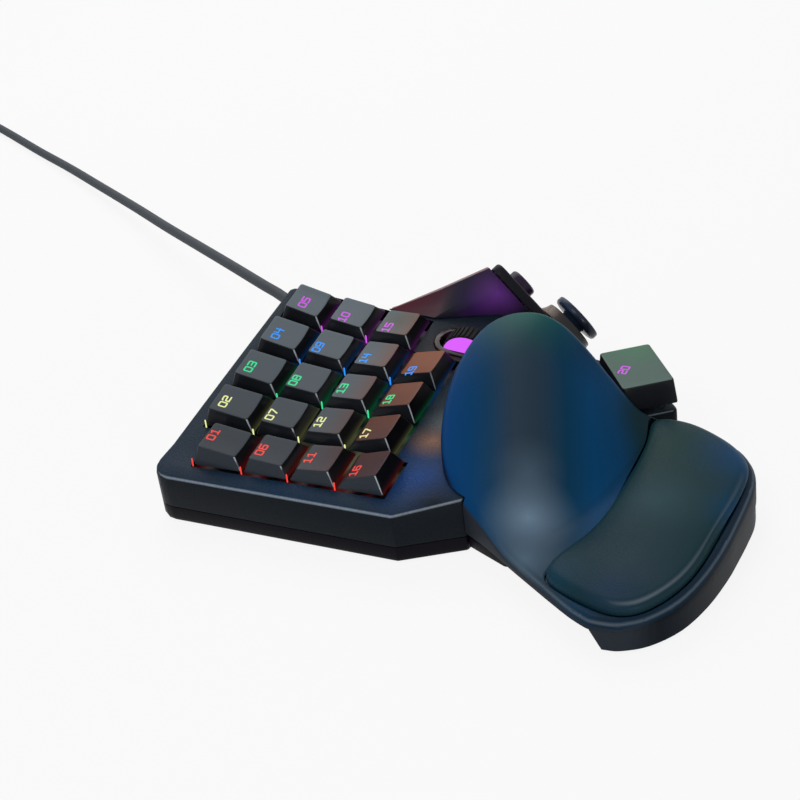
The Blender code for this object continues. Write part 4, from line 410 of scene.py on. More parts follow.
materials = {
    # The thumb key's green top and patch are painted coloured light.
    "cap": capPlastic("thumbCapPlastic", None, (
        (0.085, 0.15, 0.128), (((0.06, 0.23, 0.11), (94, -124, 32), 24, 0.9),))),
    # The deck's tints are painted coloured reflections and light, with painted shade beside the palm rest; its
    # sides are a painted shade and its creases painted highlights along the front and diagonal edges.
    "deck": grainedPlastic("deckPlastic", (0.014, 0.026, 0.04), (0.006, 0.009, 0.013), 0.4, 1400, 0.0006, (
        ((0, 0.02, 0.056), (-14, -34, 20), 70, 1),
        ((0.01, 0.024, 0.048), (-10, 16, 20), 34, 0.9),
        ((0, 0.05, 0.23), (3, -79, 23), 24, 1),
        ((0, 0.004, 0.008), (-8, -90, 21), 16, 1),
        ((0.3, 0.15, 0.095), (22, -76, 26), 11, 1),
        ((0.16, 0.18, 0.19), (32, -76, 28), 10, 0.7),
        ((0.05, 0.026, 0.02), (72, -62, 34), 22, 0.9),
    ), (
        ((-0.77, 0, 0.64), (0.26, 0.32, 0.4)), ((-0.673, -0.352, 0.65), (0.24, 0.28, 0.33)))),
    "wall": grainedPlastic("bottomPlastic", (0.003, 0.002, 0.005), (0.003, 0.002, 0.005), 0.42, 900, 0.0003),
    "panel": grainedPlastic("panelPlastic", (0.012, 0.012, 0.018), (0.012, 0.012, 0.018), 0.36, 1400, 0.0003),
    # The wedge's purple patches are painted reflections, and its upward faces take painted light.
    "wedge": glossPlastic("wedgePlastic", (0.014, 0.012, 0.026), (
        ((0.045, 0.016, 0.12), (94, -62, 44), 12, 0.9),
        ((0.24, 0.07, 0.43), (97, -70, 46), 13, 1),
    ), 0.2, (0.12, 0.012, 0.03)),
    # The patches on the bezel, collar and pad disc are painted coloured reflections.
    "bezel": glossPlastic("bezelPlastic", (0.016, 0.01, 0.01), (
        ((0.07, 0.03, 0.016), (72, -50, 38), 14, 0.6),)),
    "collar": glossPlastic("collarPlastic", (0.02, 0.018, 0.02), (
        ((0.28, 0.14, 0.06), (102, -84, 40), 12, 0.9),)),
    "disc": glossPlastic("padPlastic", (0.012, 0.016, 0.03), (
        ((0.02, 0.05, 0.11), (104, -92, 38), 12, 0.8),), 0.15),
    "button": glossPlastic("buttonPlastic", (0.016, 0.005, 0.026), (), 0.15),
    "dome": domePlastic(),
    "leather": leatherette(),
    "rubber": plainRubber("blackRubber", (0.012, 0.012, 0.013)),
    "silicone": plainRubber("siliconeRubber", (0.5, 0.5, 0.48)),
    "cord": plainRubber("cordSheath", (0.03, 0.038, 0.048), 0.45),
    "steel": brushedSteel(),
    "board": circuitBoard(),
    "plate": glowPlate(),
}
for lightName, lightColour in lightColours.items():
    materials["cap_" + lightName] = capPlastic("keycapPlastic_" + lightName, lightColour)
    materials["legend_" + lightName] = litPlastic("legend_" + lightName, lightColour, 0.9)
    materials["lamp_" + lightName] = litPlastic("lamp_" + lightName, lightColour, 1.1)
materials["wheelLight"] = litPlastic("wheelLight", (0.62, 0.1, 0.9), 1.1, 31)
print("finishes made")


# Pieces and their meshes
def makePiece(name, mesh, material, node=None, body=None, smoothAngle=35):
    for polygon in mesh.polygons:
        polygon.use_smooth = True
    mesh.set_sharp_from_angle(angle=radians(smoothAngle))
    mesh.name = name
    mesh.materials.clear()
    mesh.materials.append(materials[material])
    piece = inScene(mesh, name)
    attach(piece, bodyOfNode[node] if node else body)
    if node:
        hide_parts(node)
    return piece


def meshOf(bm, outward=True):
    if outward:
        bmesh.ops.recalc_face_normals(bm, faces=bm.faces)
    mesh = bpy.data.meshes.new("mesh")
    bm.to_mesh(mesh)
    bm.free()
    return mesh


def skinRings(bm, rings, closed=False):
    loops = [[bm.verts.new(p) for p in ring] for ring in rings]
    for low, high in zip(loops, loops[1:] + (loops[:1] if closed else [])):
        for index in range(len(low)):
            after = (index + 1) % len(low)
            bm.faces.new((low[index], low[after], high[after], high[index]))
    if not closed:
        bm.faces.new(loops[0])
        bm.faces.new(loops[-1])


def meshFrom(holder):
    made = bpy.data.meshes.new_from_object(holder.evaluated_get(bpy.context.evaluated_depsgraph_get()))
    bpy.data.objects.remove(holder)
    return made


def applied(mesh, *modifiers):
    holder = inScene(mesh)
    for kind, settings in modifiers:
        modifier = holder.modifiers.new(kind.lower(), kind)
        for name, value in settings.items():
            setattr(modifier, name, value)
    return meshFrom(holder)


def carved(mesh, *steps):
    tools = [(operation, inScene(tool, "tool")) for operation, tool in steps]
    made = applied(mesh, *(("BOOLEAN", {"operation": operation, "solver": "EXACT", "object": tool})
                           for operation, tool in tools))
    for _, tool in tools:
        bpy.data.objects.remove(tool)
    return made


def ringMesh(rings, closed=False):
    bm = bmesh.new()
    skinRings(bm, rings, closed)
    return meshOf(bm)


softening = {"weld": 0.00001, "flatAngle": radians(0.6), "edgeAngle": radians(35)}


def bevelled(mesh, width, segments=3):
    return applied(mesh, ("BEVEL", {"width": width, "segments": segments, "limit_method": "ANGLE",
                                    "angle_limit": softening["edgeAngle"], "use_clamp_overlap": True}))


def softenedMesh(node, width):
    bm = bmesh.new()
    bm.from_mesh(frame["nodes"][node].data)
    bmesh.ops.remove_doubles(bm, verts=bm.verts, dist=softening["weld"])
    bmesh.ops.dissolve_limit(bm, angle_limit=softening["flatAngle"], verts=bm.verts, edges=bm.edges)
    return bevelled(meshOf(bm, False), width)


def softened(name, node, material, width):
    return makePiece(name, softenedMesh(node, width), material, node)


def turnedRings(profile, matrix, sides=72):
    circle = [(cos(tau * k / sides), sin(tau * k / sides)) for k in range(sides)]
    return [[matrix @ (Vector((radius * x, radius * y, height)) / 1000) for x, y in circle]
            for radius, height in profile]


def turnedPiece(name, profile, matrix, material, node, sides=72, closed=True):
    makePiece(name, ringMesh(turnedRings(profile, matrix, sides), closed), material, node, smoothAngle=38)


def smoothly(p0, p1, p2, p3, parts):  # points from p1 towards p2, on a curve through all four
    shares = [part / parts for part in range(parts)]
    return [0.5 * (2 * p1 + (p2 - p0) * t + (2 * p0 - 5 * p1 + 4 * p2 - p3) * t * t
                   + (3 * p1 - p0 - 3 * p2 + p3) * t ** 3) for t in shares]


# The free cord, on the CAD's own route
cordSizes = {"radius": 0.0024, "coilRadius": 0.0275, "turnsPerLayer": 4, "gap": 0.0008, "turnPoints": 24,
             "plugLead": 0.04, "plugLeadPoints": 6, "plugHeight": 0.0078, "step": 0.011}
cordRoute = [
    (0.106, 0.0275, 0.0216), (0.1174, 0.0397, 0.0214), (0.1297, 0.0598, 0.0206), (0.1485, 0.0886, 0.0184),
    (0.1688, 0.1188, 0.0153), (0.1933, 0.155, 0.0114), (0.2193, 0.1933, 0.0079), (0.2464, 0.2361, 0.0052),
    (0.2697, 0.2744, 0.0036), (0.2909, 0.3124, 0.0028), (0.3218, 0.3675, 0.0025), (0.35, 0.423, 0.0025),
    (0.374, 0.476, 0.0025),
]
glandSizes = {"first": (0.0838453, 0.0145, 0.0215), "last": (0.0888453, 0.0085, 0.0215), "length": 0.0125,
              "gap": 0.0003}


def glandMatrix():
    first, last = Vector(glandSizes["first"]), Vector(glandSizes["last"])
    out = unit(first.y - last.y, last.x - first.x, 0)
    side = Vector((0, 0, 1)).cross(out)
    return Matrix.Translation((first + last) / 2 + keyOne) @ turnTo(side, out.cross(side), out)


def evenPath(points, step, parts=24):
    padded = [points[0] * 2 - points[1]] + points + [points[-1] * 2 - points[-2]]
    dense = []
    for index in range(len(padded) - 3):
        dense += smoothly(*padded[index:index + 4], parts)
    dense.append(points[-1])
    total = lengthOf(dense)
    count = max(round(total / step), 2)
    path, travelled = [dense[0]], 0
    for a, b in zip(dense, dense[1:]):
        travelled += (b - a).length
        if travelled >= total / count * len(path) and len(path) < count:
            path.append(b)
    return path + [dense[-1]]


def coilLoops(start, heading):
    turns, steps = cordSizes["turnsPerLayer"], cordSizes["turnPoints"]
    across = 2 * cordSizes["radius"] + cordSizes["gap"]
    outer = cordSizes["coilRadius"] + across * turns / 2
    inner, climb = outer - across * turns, steps // 2
    side = Vector((-heading.y, heading.x, 0))
    centre, first = start + side * outer, atan2(-side.y, -side.x)
    stations = [(outer - across * step / steps, 0) for step in range(turns * steps)]
    stations += [(inner - across / 4 * sin(pi * step / climb), across * step / climb)
                 for step in range(climb)]
    stations += [(inner + across * step / steps, across) for step in range(turns * steps + 1)]
    angles = [first + tau * k / steps for k in range(len(stations))]
    return [centre + Vector((radius * cos(angle), radius * sin(angle), rise))
            for angle, (radius, rise) in zip(angles, stations)]


def levelWay(ends):
    way = ends[1] - ends[0]
    return unit(way.x, way.y, 0)


def makeCord(plugPiece):
    gland, radius, gap = glandMatrix(), cordSizes["radius"], glandSizes["gap"]
    mouth = gland @ Vector((0, 0, glandSizes["length"] + gap))
    out = (gland.to_3x3() @ Vector((0, 0, 1))).normalized()
    route = [Vector(p) + keyOne for p in cordRoute]
    lead = [mouth] + evenPath([mouth + out * 2 * radius] + route, cordSizes["step"])
    heading = levelWay(route[-2:])
    coilStart = lead[-1] + heading * (2 * radius + gap)
    loops = coilLoops(coilStart + heading * 2 * radius, heading)
    last = levelWay(loops[-2:])
    drop = loops[-1].z - cordSizes["plugHeight"] / 2 - gap
    shares = [step / cordSizes["plugLeadPoints"] for step in range(1, cordSizes["plugLeadPoints"] + 1)]
    tail = [loops[-1] + last * cordSizes["plugLead"] * share
            - Vector((0, 0, drop * (1 - cos(pi * share)) / 2)) for share in shares]
    points = lead + [coilStart] + loops + tail + [tail[-1] + last * 2 * radius]
    curve = bpy.data.curves.new("cord", "CURVE")
    curve.dimensions, curve.use_fill_caps = "3D", True
    curve.bevel_depth, curve.bevel_resolution = radius, 4
    spline = curve.splines.new("POLY")
    spline.points.add(len(points) - 1)
    for point, where in zip(spline.points, points):
        point.co = (*where, 1)
    spline.use_smooth = True
    curve.materials.append(materials["cord"])
    cord = inScene(curve, "cord")
    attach(cord, "base")
    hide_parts("cable_lead", "cable_coil")
    length = round(lengthOf(points), 3)
    print("cord laid,", length, "m")


makeCord(softened("plugBody", "usb_plug_body", "wall", 0.0006))


# Deck and keys
def deckHeight(x, y):
    rise = deckShape["twist"] * max(x, 0) * (y - deckShape["flatY"])
    return deckShape["height"] + x * tan(deckShape["tilt"]) + rise


def deckMatrix(x, y):
    slopeX = tan(deckShape["tilt"]) + (deckShape["twist"] * (y - deckShape["flatY"]) if x > 0 else 0)
    slopeY = deckShape["twist"] * max(x, 0)
    normal = unit(-slopeX, -slopeY, 1)
    alongX = Vector((0, 1, slopeY)).cross(normal).normalized()
    turn = turnTo(alongX, normal.cross(alongX).normalized(), normal)
    return Matrix.Translation(spot(x, y, deckHeight(x, y))) @ turn


keycap = {
    "size": 18, "lift": 0.3, "sideInset": 2.2, "frontInset": 2.6, "backInset": 2.1, "dish": 0.3,
    "backHeights": (7.4, 5.4, 3.9, 3), "frontHeights": (4.8, 4.2, 5.3, 7.2),
    "backStretches": (2, 2.8, 2.1, 1.4, 0.2), "stem": (2.2, 8.7), "stemSides": 20,
    "footRadius": 0.7, "topRadius": 1, "edge": 0.45, "wall": 1.1, "cornerSteps": 5, "sideSteps": 5,
    "footEase": 0.12, "sideShares": (0, 0.06, 0.35, 0.7), "edgeAngles": (0, 25, 50, 70, 90),
    "topShares": (0.86, 0.68, 0.46, 0.22), "roofWalls": 1.4, "roofLow": 0.5, "stemWalls": 0.6,
    "smoothAngle": 32,
}


def roundedRing(halfX, front, back, radius, height):
    centreX, steps, points = halfX - radius, keycap["cornerSteps"], []
    for x, y, start in ((centreX, back - radius, 0), (-centreX, back - radius, 90),
                        (-centreX, front + radius, 180), (centreX, front + radius, 270)):
        angles = [radians(start + 90 * step / steps) for step in range(steps + 1)]
        points += [(x + radius * cos(angle), y + radius * sin(angle)) for angle in angles]
    ring = []
    for index, (_, (x, y), (afterX, afterY)) in enumerate(around(points)):
        parts = 1 if (index + 1) % (steps + 1) else keycap["sideSteps"]  # a straight side is split
        ring += [(x + (afterX - x) * part / parts, y + (afterY - y) * part / parts) for part in range(parts)]
    return [(x, y, height(x, y)) for x, y in ring]


def capRings(halfX, front, back, insets, heights, dish):
    side, backInset, frontInset = insets
    topX, topBack, topFront = halfX - side, back - backInset, front + frontInset
    edge, wall, foot, corner = (keycap[name] for name in ("edge", "wall", "footRadius", "topRadius"))
    low = keycap["lift"] if dish else 0

    def topAt(x, y):
        share = (y - topFront) / (topBack - topFront)
        return heights[1] + (heights[0] - heights[1]) * share - dish * max(1 - (x / topX) ** 2, 0)

    roof, roofLow = wall * keycap["roofWalls"], low + keycap["roofLow"]
    rings = [roundedRing(topX - wall, topFront + wall, topBack - wall, foot,
                         lambda x, y: max(topAt(0, y) - roof, roofLow)),
             roundedRing(halfX - wall, front + wall, back - wall, foot, lambda x, y: low)]
    for share in keycap["sideShares"]:  # drafted sides, with the foot's edge eased
        ease = 0 if share else keycap["footEase"]
        rings.append(roundedRing(
            halfX - side * share - ease, front + frontInset * share + ease, back - backInset * share - ease,
            foot + (corner - foot) * share, lambda x, y: low + (topAt(halfX, y) - edge - low) * share))
    for angle in keycap["edgeAngles"]:  # the top edge's round
        turn = radians(angle)
        inward, drop, fade = edge * (1 - cos(turn)), edge * (1 - sin(turn)), sin(turn) ** 2
        rings.append(roundedRing(
            topX - inward, topFront + inward, topBack - inward, corner,
            lambda x, y: topAt(topX - (topX - abs(x)) * fade, y) - drop))
    middle, reach = (topFront + topBack) / 2, (topBack - topFront) / 2 - edge
    for share in keycap["topShares"]:
        rings.append(roundedRing((topX - edge) * share, middle - reach * share, middle + reach * share,
                                 corner * share, topAt))
    return rings, topAt


def buildCap(number, matrix, halfX, front, back, insets, heights, dish, stem, material):
    rings, topAt = capRings(halfX, front, back, insets, heights, dish)
    bm = bmesh.new()
    skinRings(bm, [[matrix @ (Vector(p) / 1000) for p in ring] for ring in rings])
    radius, end = stem
    stemTop = min(topAt(0, 0), *heights) - keycap["wall"] * keycap["stemWalls"]
    skinRings(bm, turnedRings(((radius, stemTop), (radius, -end)), matrix, keycap["stemSides"]))
    makePiece(f"keycap_{number:02d}", meshOf(bm), material, f"key_{number:02d}",
              smoothAngle=keycap["smoothAngle"])
    return topAt


ringStroke = ((0.12, 0), (0.88, 0), (1, 0.1), (1, 0.9), (0.88, 1), (0.12, 1), (0, 0.9), (0, 0.1), (0.12, 0))
digitStrokes = {  # strokes of each digit in a box one wide and one high
    "0": [ringStroke],
    "1": [((0.15, 0.86), (0.55, 1), (0.55, 0)), ((0.15, 0), (0.95, 0))],
    "2": [((0, 0.9), (0.12, 1), (0.88, 1), (1, 0.9), (1, 0.6), (0.88, 0.5), (0.12, 0.5), (0, 0.4), (0, 0),
           (1, 0))],
    "3": [((0, 1), (0.88, 1), (1, 0.9), (1, 0.1), (0.88, 0), (0, 0)), ((0.2, 0.5), (1, 0.5))],
    "4": [((0, 1), (0, 0.5), (1, 0.5)), ((0.9, 1), (0.9, 0))],
    "5": [((1, 1), (0, 1), (0, 0.55), (0.88, 0.55), (1, 0.45), (1, 0.1), (0.88, 0), (0, 0))],
    "6": [((1, 1), (0.12, 1), (0, 0.9), (0, 0.1), (0.12, 0), (0.88, 0), (1, 0.1), (1, 0.45), (0.88, 0.55),
           (0, 0.55))],
    "7": [((0, 1), (1, 1), (1, 0.85), (0.45, 0))],
    "8": [ringStroke, ((0, 0.52), (1, 0.52))],
    "9": [((0, 0), (0.88, 0), (1, 0.1), (1, 0.9), (0.88, 1), (0.12, 1), (0, 0.9), (0, 0.55), (0.12, 0.45),
           (1, 0.45))],
}
legend = {"width": 2.1, "height": 2.8, "pitch": 3.05, "stroke": 0.56, "proud": 0.05, "thick": 0.16,
          "sharpest": 0.5, "backGap": 2.4, "smoothAngle": 20}


def strokeMesh(bm, line, place):
    closed = line[0] == line[-1]
    points = [Vector(p) for p in (line[:-1] if closed else line)]
    count, half, rings = len(points), legend["stroke"] / 2, []
    for index, here in enumerate(points):
        before = (here - points[index - 1]).normalized() if closed or index else None
        after = (points[(index + 1) % count] - here).normalized() if closed or index < count - 1 else before
        before = before or after
        across = [leftOf(way) for way in (before, after)]
        normal = (across[0] + across[1]).normalized()
        reach = normal * half / max(normal.dot(across[0]), legend["sharpest"])
        if not closed and index in (0, count - 1):
            here = here + (after if index else -before) * half
        left, right = here + reach, here - reach
        corners = ((left, 0), (right, 0), (right, -legend["thick"]), (left, -legend["thick"]))
        rings.append([place(*side, lift) for side, lift in corners])
    skinRings(bm, rings, closed)


def legendFor(number, matrix, topAt, offset, colour):
    def onCap(x, y, lift):
        return matrix @ (Vector((x, y, topAt(x, y) + legend["proud"] + lift)) / 1000)

    bm = bmesh.new()
    for place, digit in enumerate(f"{number:02d}"):
        startX = offset[0] + (place - 0.5) * legend["pitch"] - legend["width"] / 2
        startY = offset[1] - legend["height"] / 2
        for line in digitStrokes[digit]:
            placed = [(startX + x * legend["width"], startY + y * legend["height"]) for x, y in line]
            strokeMesh(bm, placed, onCap)
    name, body = f"legend_{number:02d}", f"key_{number:02d}"
    makePiece(name, meshOf(bm), "legend_" + colour, body=body, smoothAngle=legend["smoothAngle"])


legendPlaces = {1: (0.9, 8.3), 2: (-1.3, 5.6), 3: (-1.5, 5), 4: (-1.6, 3.4), 5: (-1.7, 1.4), 6: (-1, 6.3),
                7: (-2.5, 5.4), 8: (-2.9, 5), 9: (-3.1, 4.3), 10: (-3.7, 2.4), 11: (-0.1, 5.2), 12: (-1.2, 4.7),
                13: (-1.6, 4.8), 14: (-3.1, 3.7), 15: (-3.5, 3.1), 19: (-5, 2.9)}
usualLegendPlace = (-2.6, 4.2)


def keyPoint(row, column):
    return column * keyPitch["x"], -row * keyPitch["y"] - (0 if column else keyPitch["stagger"])


for number in range(1, 20):
    row, column = divmod(number - 1, len(columnColours))
    matrix, half = deckMatrix(*keyPoint(row, column)), keycap["size"] / 2
    stretch = 0 if row else keycap["backStretches"][column]
    topAt = buildCap(number, matrix, half, -half, half + stretch,
                     (keycap["sideInset"], keycap["backInset"], keycap["frontInset"]),
                     (keycap["backHeights"][row], keycap["frontHeights"][row]), keycap["dish"], keycap["stem"],
                     "cap_" + columnColours[column])
    legendX, legendY = legendPlaces.get(number, usualLegendPlace)
    legendY = min(legendY, half + stretch - keycap["backInset"] - legend["backGap"])
    legendFor(number, matrix, topAt, (legendX, legendY), columnColours[column])
print("keycaps and legends made")

thumbKey = {"x": 78.5, "y": -131.2, "angle": radians(37), "length": 30.5, "width": 20.5, "top": 32.4,
            "height": 9.2, "inset": 0.8, "stem": (3, 11), "legend": (-3.9, 3.2)}


def thumbKeyPieces():
    high, half = thumbKey["height"], thumbKey["width"] / 2
    upright = Matrix.Translation(spot(thumbKey["x"], thumbKey["y"], thumbKey["top"] - high))
    buildCap(20, upright @ Matrix.Rotation(thumbKey["angle"], 4, "Z"), thumbKey["length"] / 2, -half, half,
             (thumbKey["inset"],) * 3, (high, high), 0, thumbKey["stem"], "cap")
    legendFor(20, upright, lambda x, y: high, thumbKey["legend"], "purple")


thumbKeyPieces()


# Geometry Nodes: one small cube set on each point
def modifierTree(name, sizes):
    tree = bpy.data.node_groups.new(name, "GeometryNodeTree")
    tree.interface.new_socket("Geometry", in_out="INPUT", socket_type="NodeSocketGeometry")
    for label, value in sizes.items():
        kind = "NodeSocketInt" if isinstance(value, int) else "NodeSocketFloat"
        tree.interface.new_socket(label, in_out="INPUT", socket_type=kind).default_value = value
    tree.interface.new_socket("Geometry", in_out="OUTPUT", socket_type="NodeSocketGeometry")
    given = tree.nodes.new("NodeGroupInput")
    return tree, [Wire(tree, given.outputs[index]) for index in range(len(sizes) + 1)]


def cubesOn(tree, points, size, turn, material):
    cube = addNode(tree, "GeometryNodeMeshCube",
                   Size=addNode(tree, "ShaderNodeCombineXYZ", X=size[0], Y=size[1], Z=size[2]))
    seated = addNode(tree, "GeometryNodeInstanceOnPoints", Points=points, Instance=cube,
                     Rotation=addNode(tree, "FunctionNodeEulerToRotation", i0=turn))
    painted = addNode(tree, "GeometryNodeSetMaterial", Material=materials[material],
                      Geometry=addNode(tree, "GeometryNodeRealizeInstances", i0=seated))
    plug(tree, painted, tree.nodes.new("NodeGroupOutput").inputs[0])
    return tree


def throughNodes(points, tree):
    mesh = bpy.data.meshes.new("points")
    mesh.from_pydata([tuple(p) for p in points], [], [])
    return applied(mesh, ("NODES", {"node_group": tree}))


lamp = {"length": 0.75, "width": 0.45, "rise": 3.4, "sunk": 0.3, "x": -9.35, "y": 9.5, "backX": -9.25,
        "backY": 11.1, "rows": (3, 3, 3, 3, 2), "backLamps": 2, "bevel": 0.00015}


def lampTree(colour):
    tree, (points, *size) = modifierTree("lamps_" + colour, {
        f"Lens {name.title()}": lamp[name] / 1000 for name in ("length", "width", "rise")})
    return cubesOn(tree, points, size, (0, -deckShape["tilt"], radians(45)), "lamp_" + colour)


for column, colour in enumerate(columnColours):
    level, places = lamp["rise"] / 2 - lamp["sunk"], []
    for row in range(lamp["rows"][column]):
        seat = deckMatrix(*keyPoint(row, column))
        places.append(seat @ (Vector((lamp["x"], -lamp["y"], level)) / 1000))
        if row == 0 and column < lamp["backLamps"]:
            places.append(seat @ (Vector((lamp["backX"], lamp["backY"], level)) / 1000))
    lenses = bevelled(throughNodes(places, lampTree(colour)), lamp["bevel"], 2)
    makePiece("lamps_" + colour, lenses, "lamp_" + colour, body="base")
print("lamps made")


# Scroll wheel
wheel = {"x": 76.345, "y": -67, "radius": 11.5, "proud": 6.4, "tyreWidth": 6.2, "hubWidth": 8.6, "axle": 1.6,
         "core": 9.7, "ribs": 36, "ribHeight": 0.55, "ribWidth": 0.95, "ribBevel": 0.00018,
         "ribInset": 0.4, "grooveGap": 0.3}


def ribTree():
    tree, (_, count, rim, *size) = modifierTree("tyreRibs", {
        "Ribs": wheel["ribs"], "Rim": (wheel["radius"] - wheel["ribHeight"]) / 1000,
        "Rib Height": wheel["ribHeight"] * 2 / 1000, "Rib Width": wheel["ribWidth"] / 1000,
        "Rib Length": (wheel["tyreWidth"] - wheel["ribInset"]) / 1000})
    circle = addNode(tree, "GeometryNodeMeshCircle", Vertices=count, Radius=rim)
    turn = addNode(tree, "GeometryNodeInputIndex") * (tau / count)
    return cubesOn(tree, circle, size, addNode(tree, "ShaderNodeCombineXYZ", Z=turn), "rubber")


def wheelPieces():
    axleFrame = (deckMatrix(wheel["x"], wheel["y"])
                 @ Matrix.Translation((0, 0, (wheel["proud"] - wheel["radius"]) / 1000))
                 @ Matrix.Rotation(radians(90), 4, "Y"))
    half, edge, axle, core = wheel["hubWidth"] / 2, wheel["tyreWidth"] / 2, wheel["axle"], wheel["core"]
    groove, rim = edge + wheel["grooveGap"], wheel["radius"] - wheel["ribHeight"]
    face, neck, flange, farFlange = core - 1.6, core - 0.3, core + 1.1, core + 0.5
    hub = [(axle, 0.6 - half), (3.2, 0.6 - half), (3.6, -half), (face, -half), (neck, 0.2 - half),
           (flange, 0.9 - half), (flange, -groove), (neck, -groove), (neck, groove), (farFlange, groove),
           (farFlange, half - 0.9), (neck, half - 0.2), (face, half), (3.6, half), (3.2, half - 0.6),
           (axle, half - 0.6)]
    turnedPiece("wheelHub", hub, axleFrame, "wheelLight", "wheel_hub")
    tyre = [(core, -edge), (rim - 0.5, -edge), (rim, 0.5 - edge), (rim, edge - 0.5), (rim - 0.5, edge),
            (core, edge)]
    bm = bmesh.new()
    skinRings(bm, turnedRings(tyre, Matrix.Identity(4)), True)
    bm.from_mesh(bevelled(throughNodes([(0, 0, 0)], ribTree()), wheel["ribBevel"], 2))
    bm.transform(axleFrame)
    makePiece("wheelTyre", meshOf(bm), "rubber", "wheel_tyre")


wheelPieces()
print("wheel made")


# Thumb panel, its pad and button, and the wedge behind
panel = {"peak": (97.75, -70.3, 57.5), "normal": (0.6575, -0.5671, 0.4961), "fall": (-0.057, -0.695, -0.719),
         "proud": 1.6, "edgeOffset": 10.5, "topMargin": 11.8, "padSpacing": 23.9}


def panelMatrix(down):
    normal = unit(*panel["normal"])
    across = normal.cross(unit(*panel["fall"])).normalized()
    along = across.cross(normal).normalized()
    step = along * down + across * panel["edgeOffset"] + normal * panel["proud"]
    return Matrix.Translation(spot(*panel["peak"]) + step / 1000) @ turnTo(along, across, normal)


collarSlope = {"radius": 12.05, "inward": 1.45, "hollow": 0.25, "low": 0.9, "rise": 3.6, "steps": 6}
padDisc = {"top": 9.8, "rim": 10.1, "depth": 3.1}


def slopePoint(step):
    inward, share = collarSlope["inward"], step / collarSlope["steps"]
    radius = collarSlope["radius"] - inward * share - collarSlope["hollow"] * sin(pi * share)
    return radius, collarSlope["low"] + collarSlope["rise"] * share


def discProfile():
    top, rim = padDisc["top"], padDisc["rim"]
    low = top - padDisc["depth"]
    return [(2.9, -0.4), (2.9, 4.2), (3.6, 4.6), (4.9, 4.9), (5.2, 5.3), (4.9, 5.9), (5.6, low),
            (rim - 1.3, low), (rim - 0.5, low + 0.25), (rim, low + 0.9), (rim, top - 0.6),
            (rim - 0.15, top - 0.2), (rim - 0.5, top), (rim - 1.3, top - 0.02), (rim - 2.4, top - 0.22),
            (6, top - 0.42), (3, top - 0.56), (1, top - 0.6)]


def thumbPieces():
    padFrame = panelMatrix(panel["topMargin"] + panel["padSpacing"])
    button = [(6.1, -5.1), (6.1, -4.1), (5.7, -4.1), (5.7, 2.4), (5.62, 2.75), (5.4, 3.1), (5.05, 3.38),
              (4.6, 3.5), (3, 3.46), (1.2, 3.4)]
    collar = [(6.2, 0.3), (11.9, 0.3), (12.1, 0.5), (12.05, 0.9),
              *map(slopePoint, range(1, collarSlope["steps"] + 1)),
              (10.3, 4.75), (9.9, 4.8), (6.5, 4.8), (6.2, 4.6)]
    gimbal = [(3.4, 1.7), (3.6, 1.5), (5.5, 1.5), (5.7, 1.7), (5.7, 3.5), (5.5, 3.7), (3.6, 3.7), (3.4, 3.5)]
    turnedPiece("modeButton", button, panelMatrix(panel["topMargin"]), "button", "mode_button", closed=False)
    turnedPiece("padCollar", collar, padFrame, "collar", "pad_collar")
    turnedPiece("padGimbal", gimbal, padFrame, "wall", "pad_gimbal")
    turnedPiece("thumbPad", discProfile(), padFrame, "disc", "thumb_pad", closed=False)


# The bore of the button's flange opens the wedge's side wall, and a thin patch closes it
wedgePatch = {"x": 96.9, "lean": 0.065, "leanFrom": 41.4, "levels": (127.3, 130.1), "heights": (40, 50),
              "faces": (0.04, 0.28), "bevel": 0.0008}


def wedgePiece():
    (low, high), (near, far) = wedgePatch["heights"], wedgePatch["levels"]
    normal, rings = panel["normal"], []
    for lift in wedgePatch["faces"]:
        ring = []
        for z, level in ((low, near), (high, near), (high, far), (low, far)):
            x = wedgePatch["x"] + wedgePatch["lean"] * (z - wedgePatch["leanFrom"]) + lift
            ring.append(spot(x, (level - normal[0] * x - normal[2] * z) / normal[1], z))
        rings.append(ring)
    mesh = carved(softenedMesh("thumb_wedge_cover", wedgePatch["bevel"]), ("UNION", ringMesh(rings)))
    makePiece("thumbWedge", mesh, "wedge", "thumb_wedge_cover")


thumbPieces()
for name, node, material, width in (
    ("topCover", "top_cover", "deck", 0.0008), ("bottomCover", "bottom_cover", "wall", 0.0004),
    ("thumbHousing", "thumb_key_housing", "deck", 0.0004), ("thumbPanel", "thumb_panel", "panel", 0.0004),
    ("wheelBezel", "wheel_bezel", "bezel", 0.0003), ("palmMount", "palm_mount", "wall", 0.0005),
    ("palmFootStrip", "palm_foot_strip", "rubber", 0.0003), ("palmRunner", "palm_runner", "wall", 0.0003),
):
    softened(name, node, material, width)
wedgePiece()
print("covers and thumb module made")


# Palm rest: its shell lies on the exact height of the dome
palm = {"right": 59.152, "back": -80, "width": 100.2, "length": 106.5, "lowRim": 12, "rimRise": 8.5,
        "domeRise": 40.5, "domeCentre": (0.03, 0.2), "domeReach": (0.8, 0.47, 0.65), "facet": 3.2,
        "edge": 3.4}


def shareOf(x, y):
    return (palm["right"] - x) / palm["width"], (palm["back"] - y) / palm["length"]


def padPlane(x, y):
    return palm["lowRim"] + palm["rimRise"] * (1 - shareOf(x, y)[0])


def palmHeight(x, y):
    a, b = shareOf(x, y)
    (centreA, centreB), (reachA, reachFront, reachBack) = palm["domeCentre"], palm["domeReach"]
    reachB = reachFront if b > centreB else reachBack
    away = ((a - centreA) / reachA) ** 2 + ((b - centreB) / reachB) ** 2
    return padPlane(x, y) + palm["domeRise"] * max(1 - away, 0) ** 2


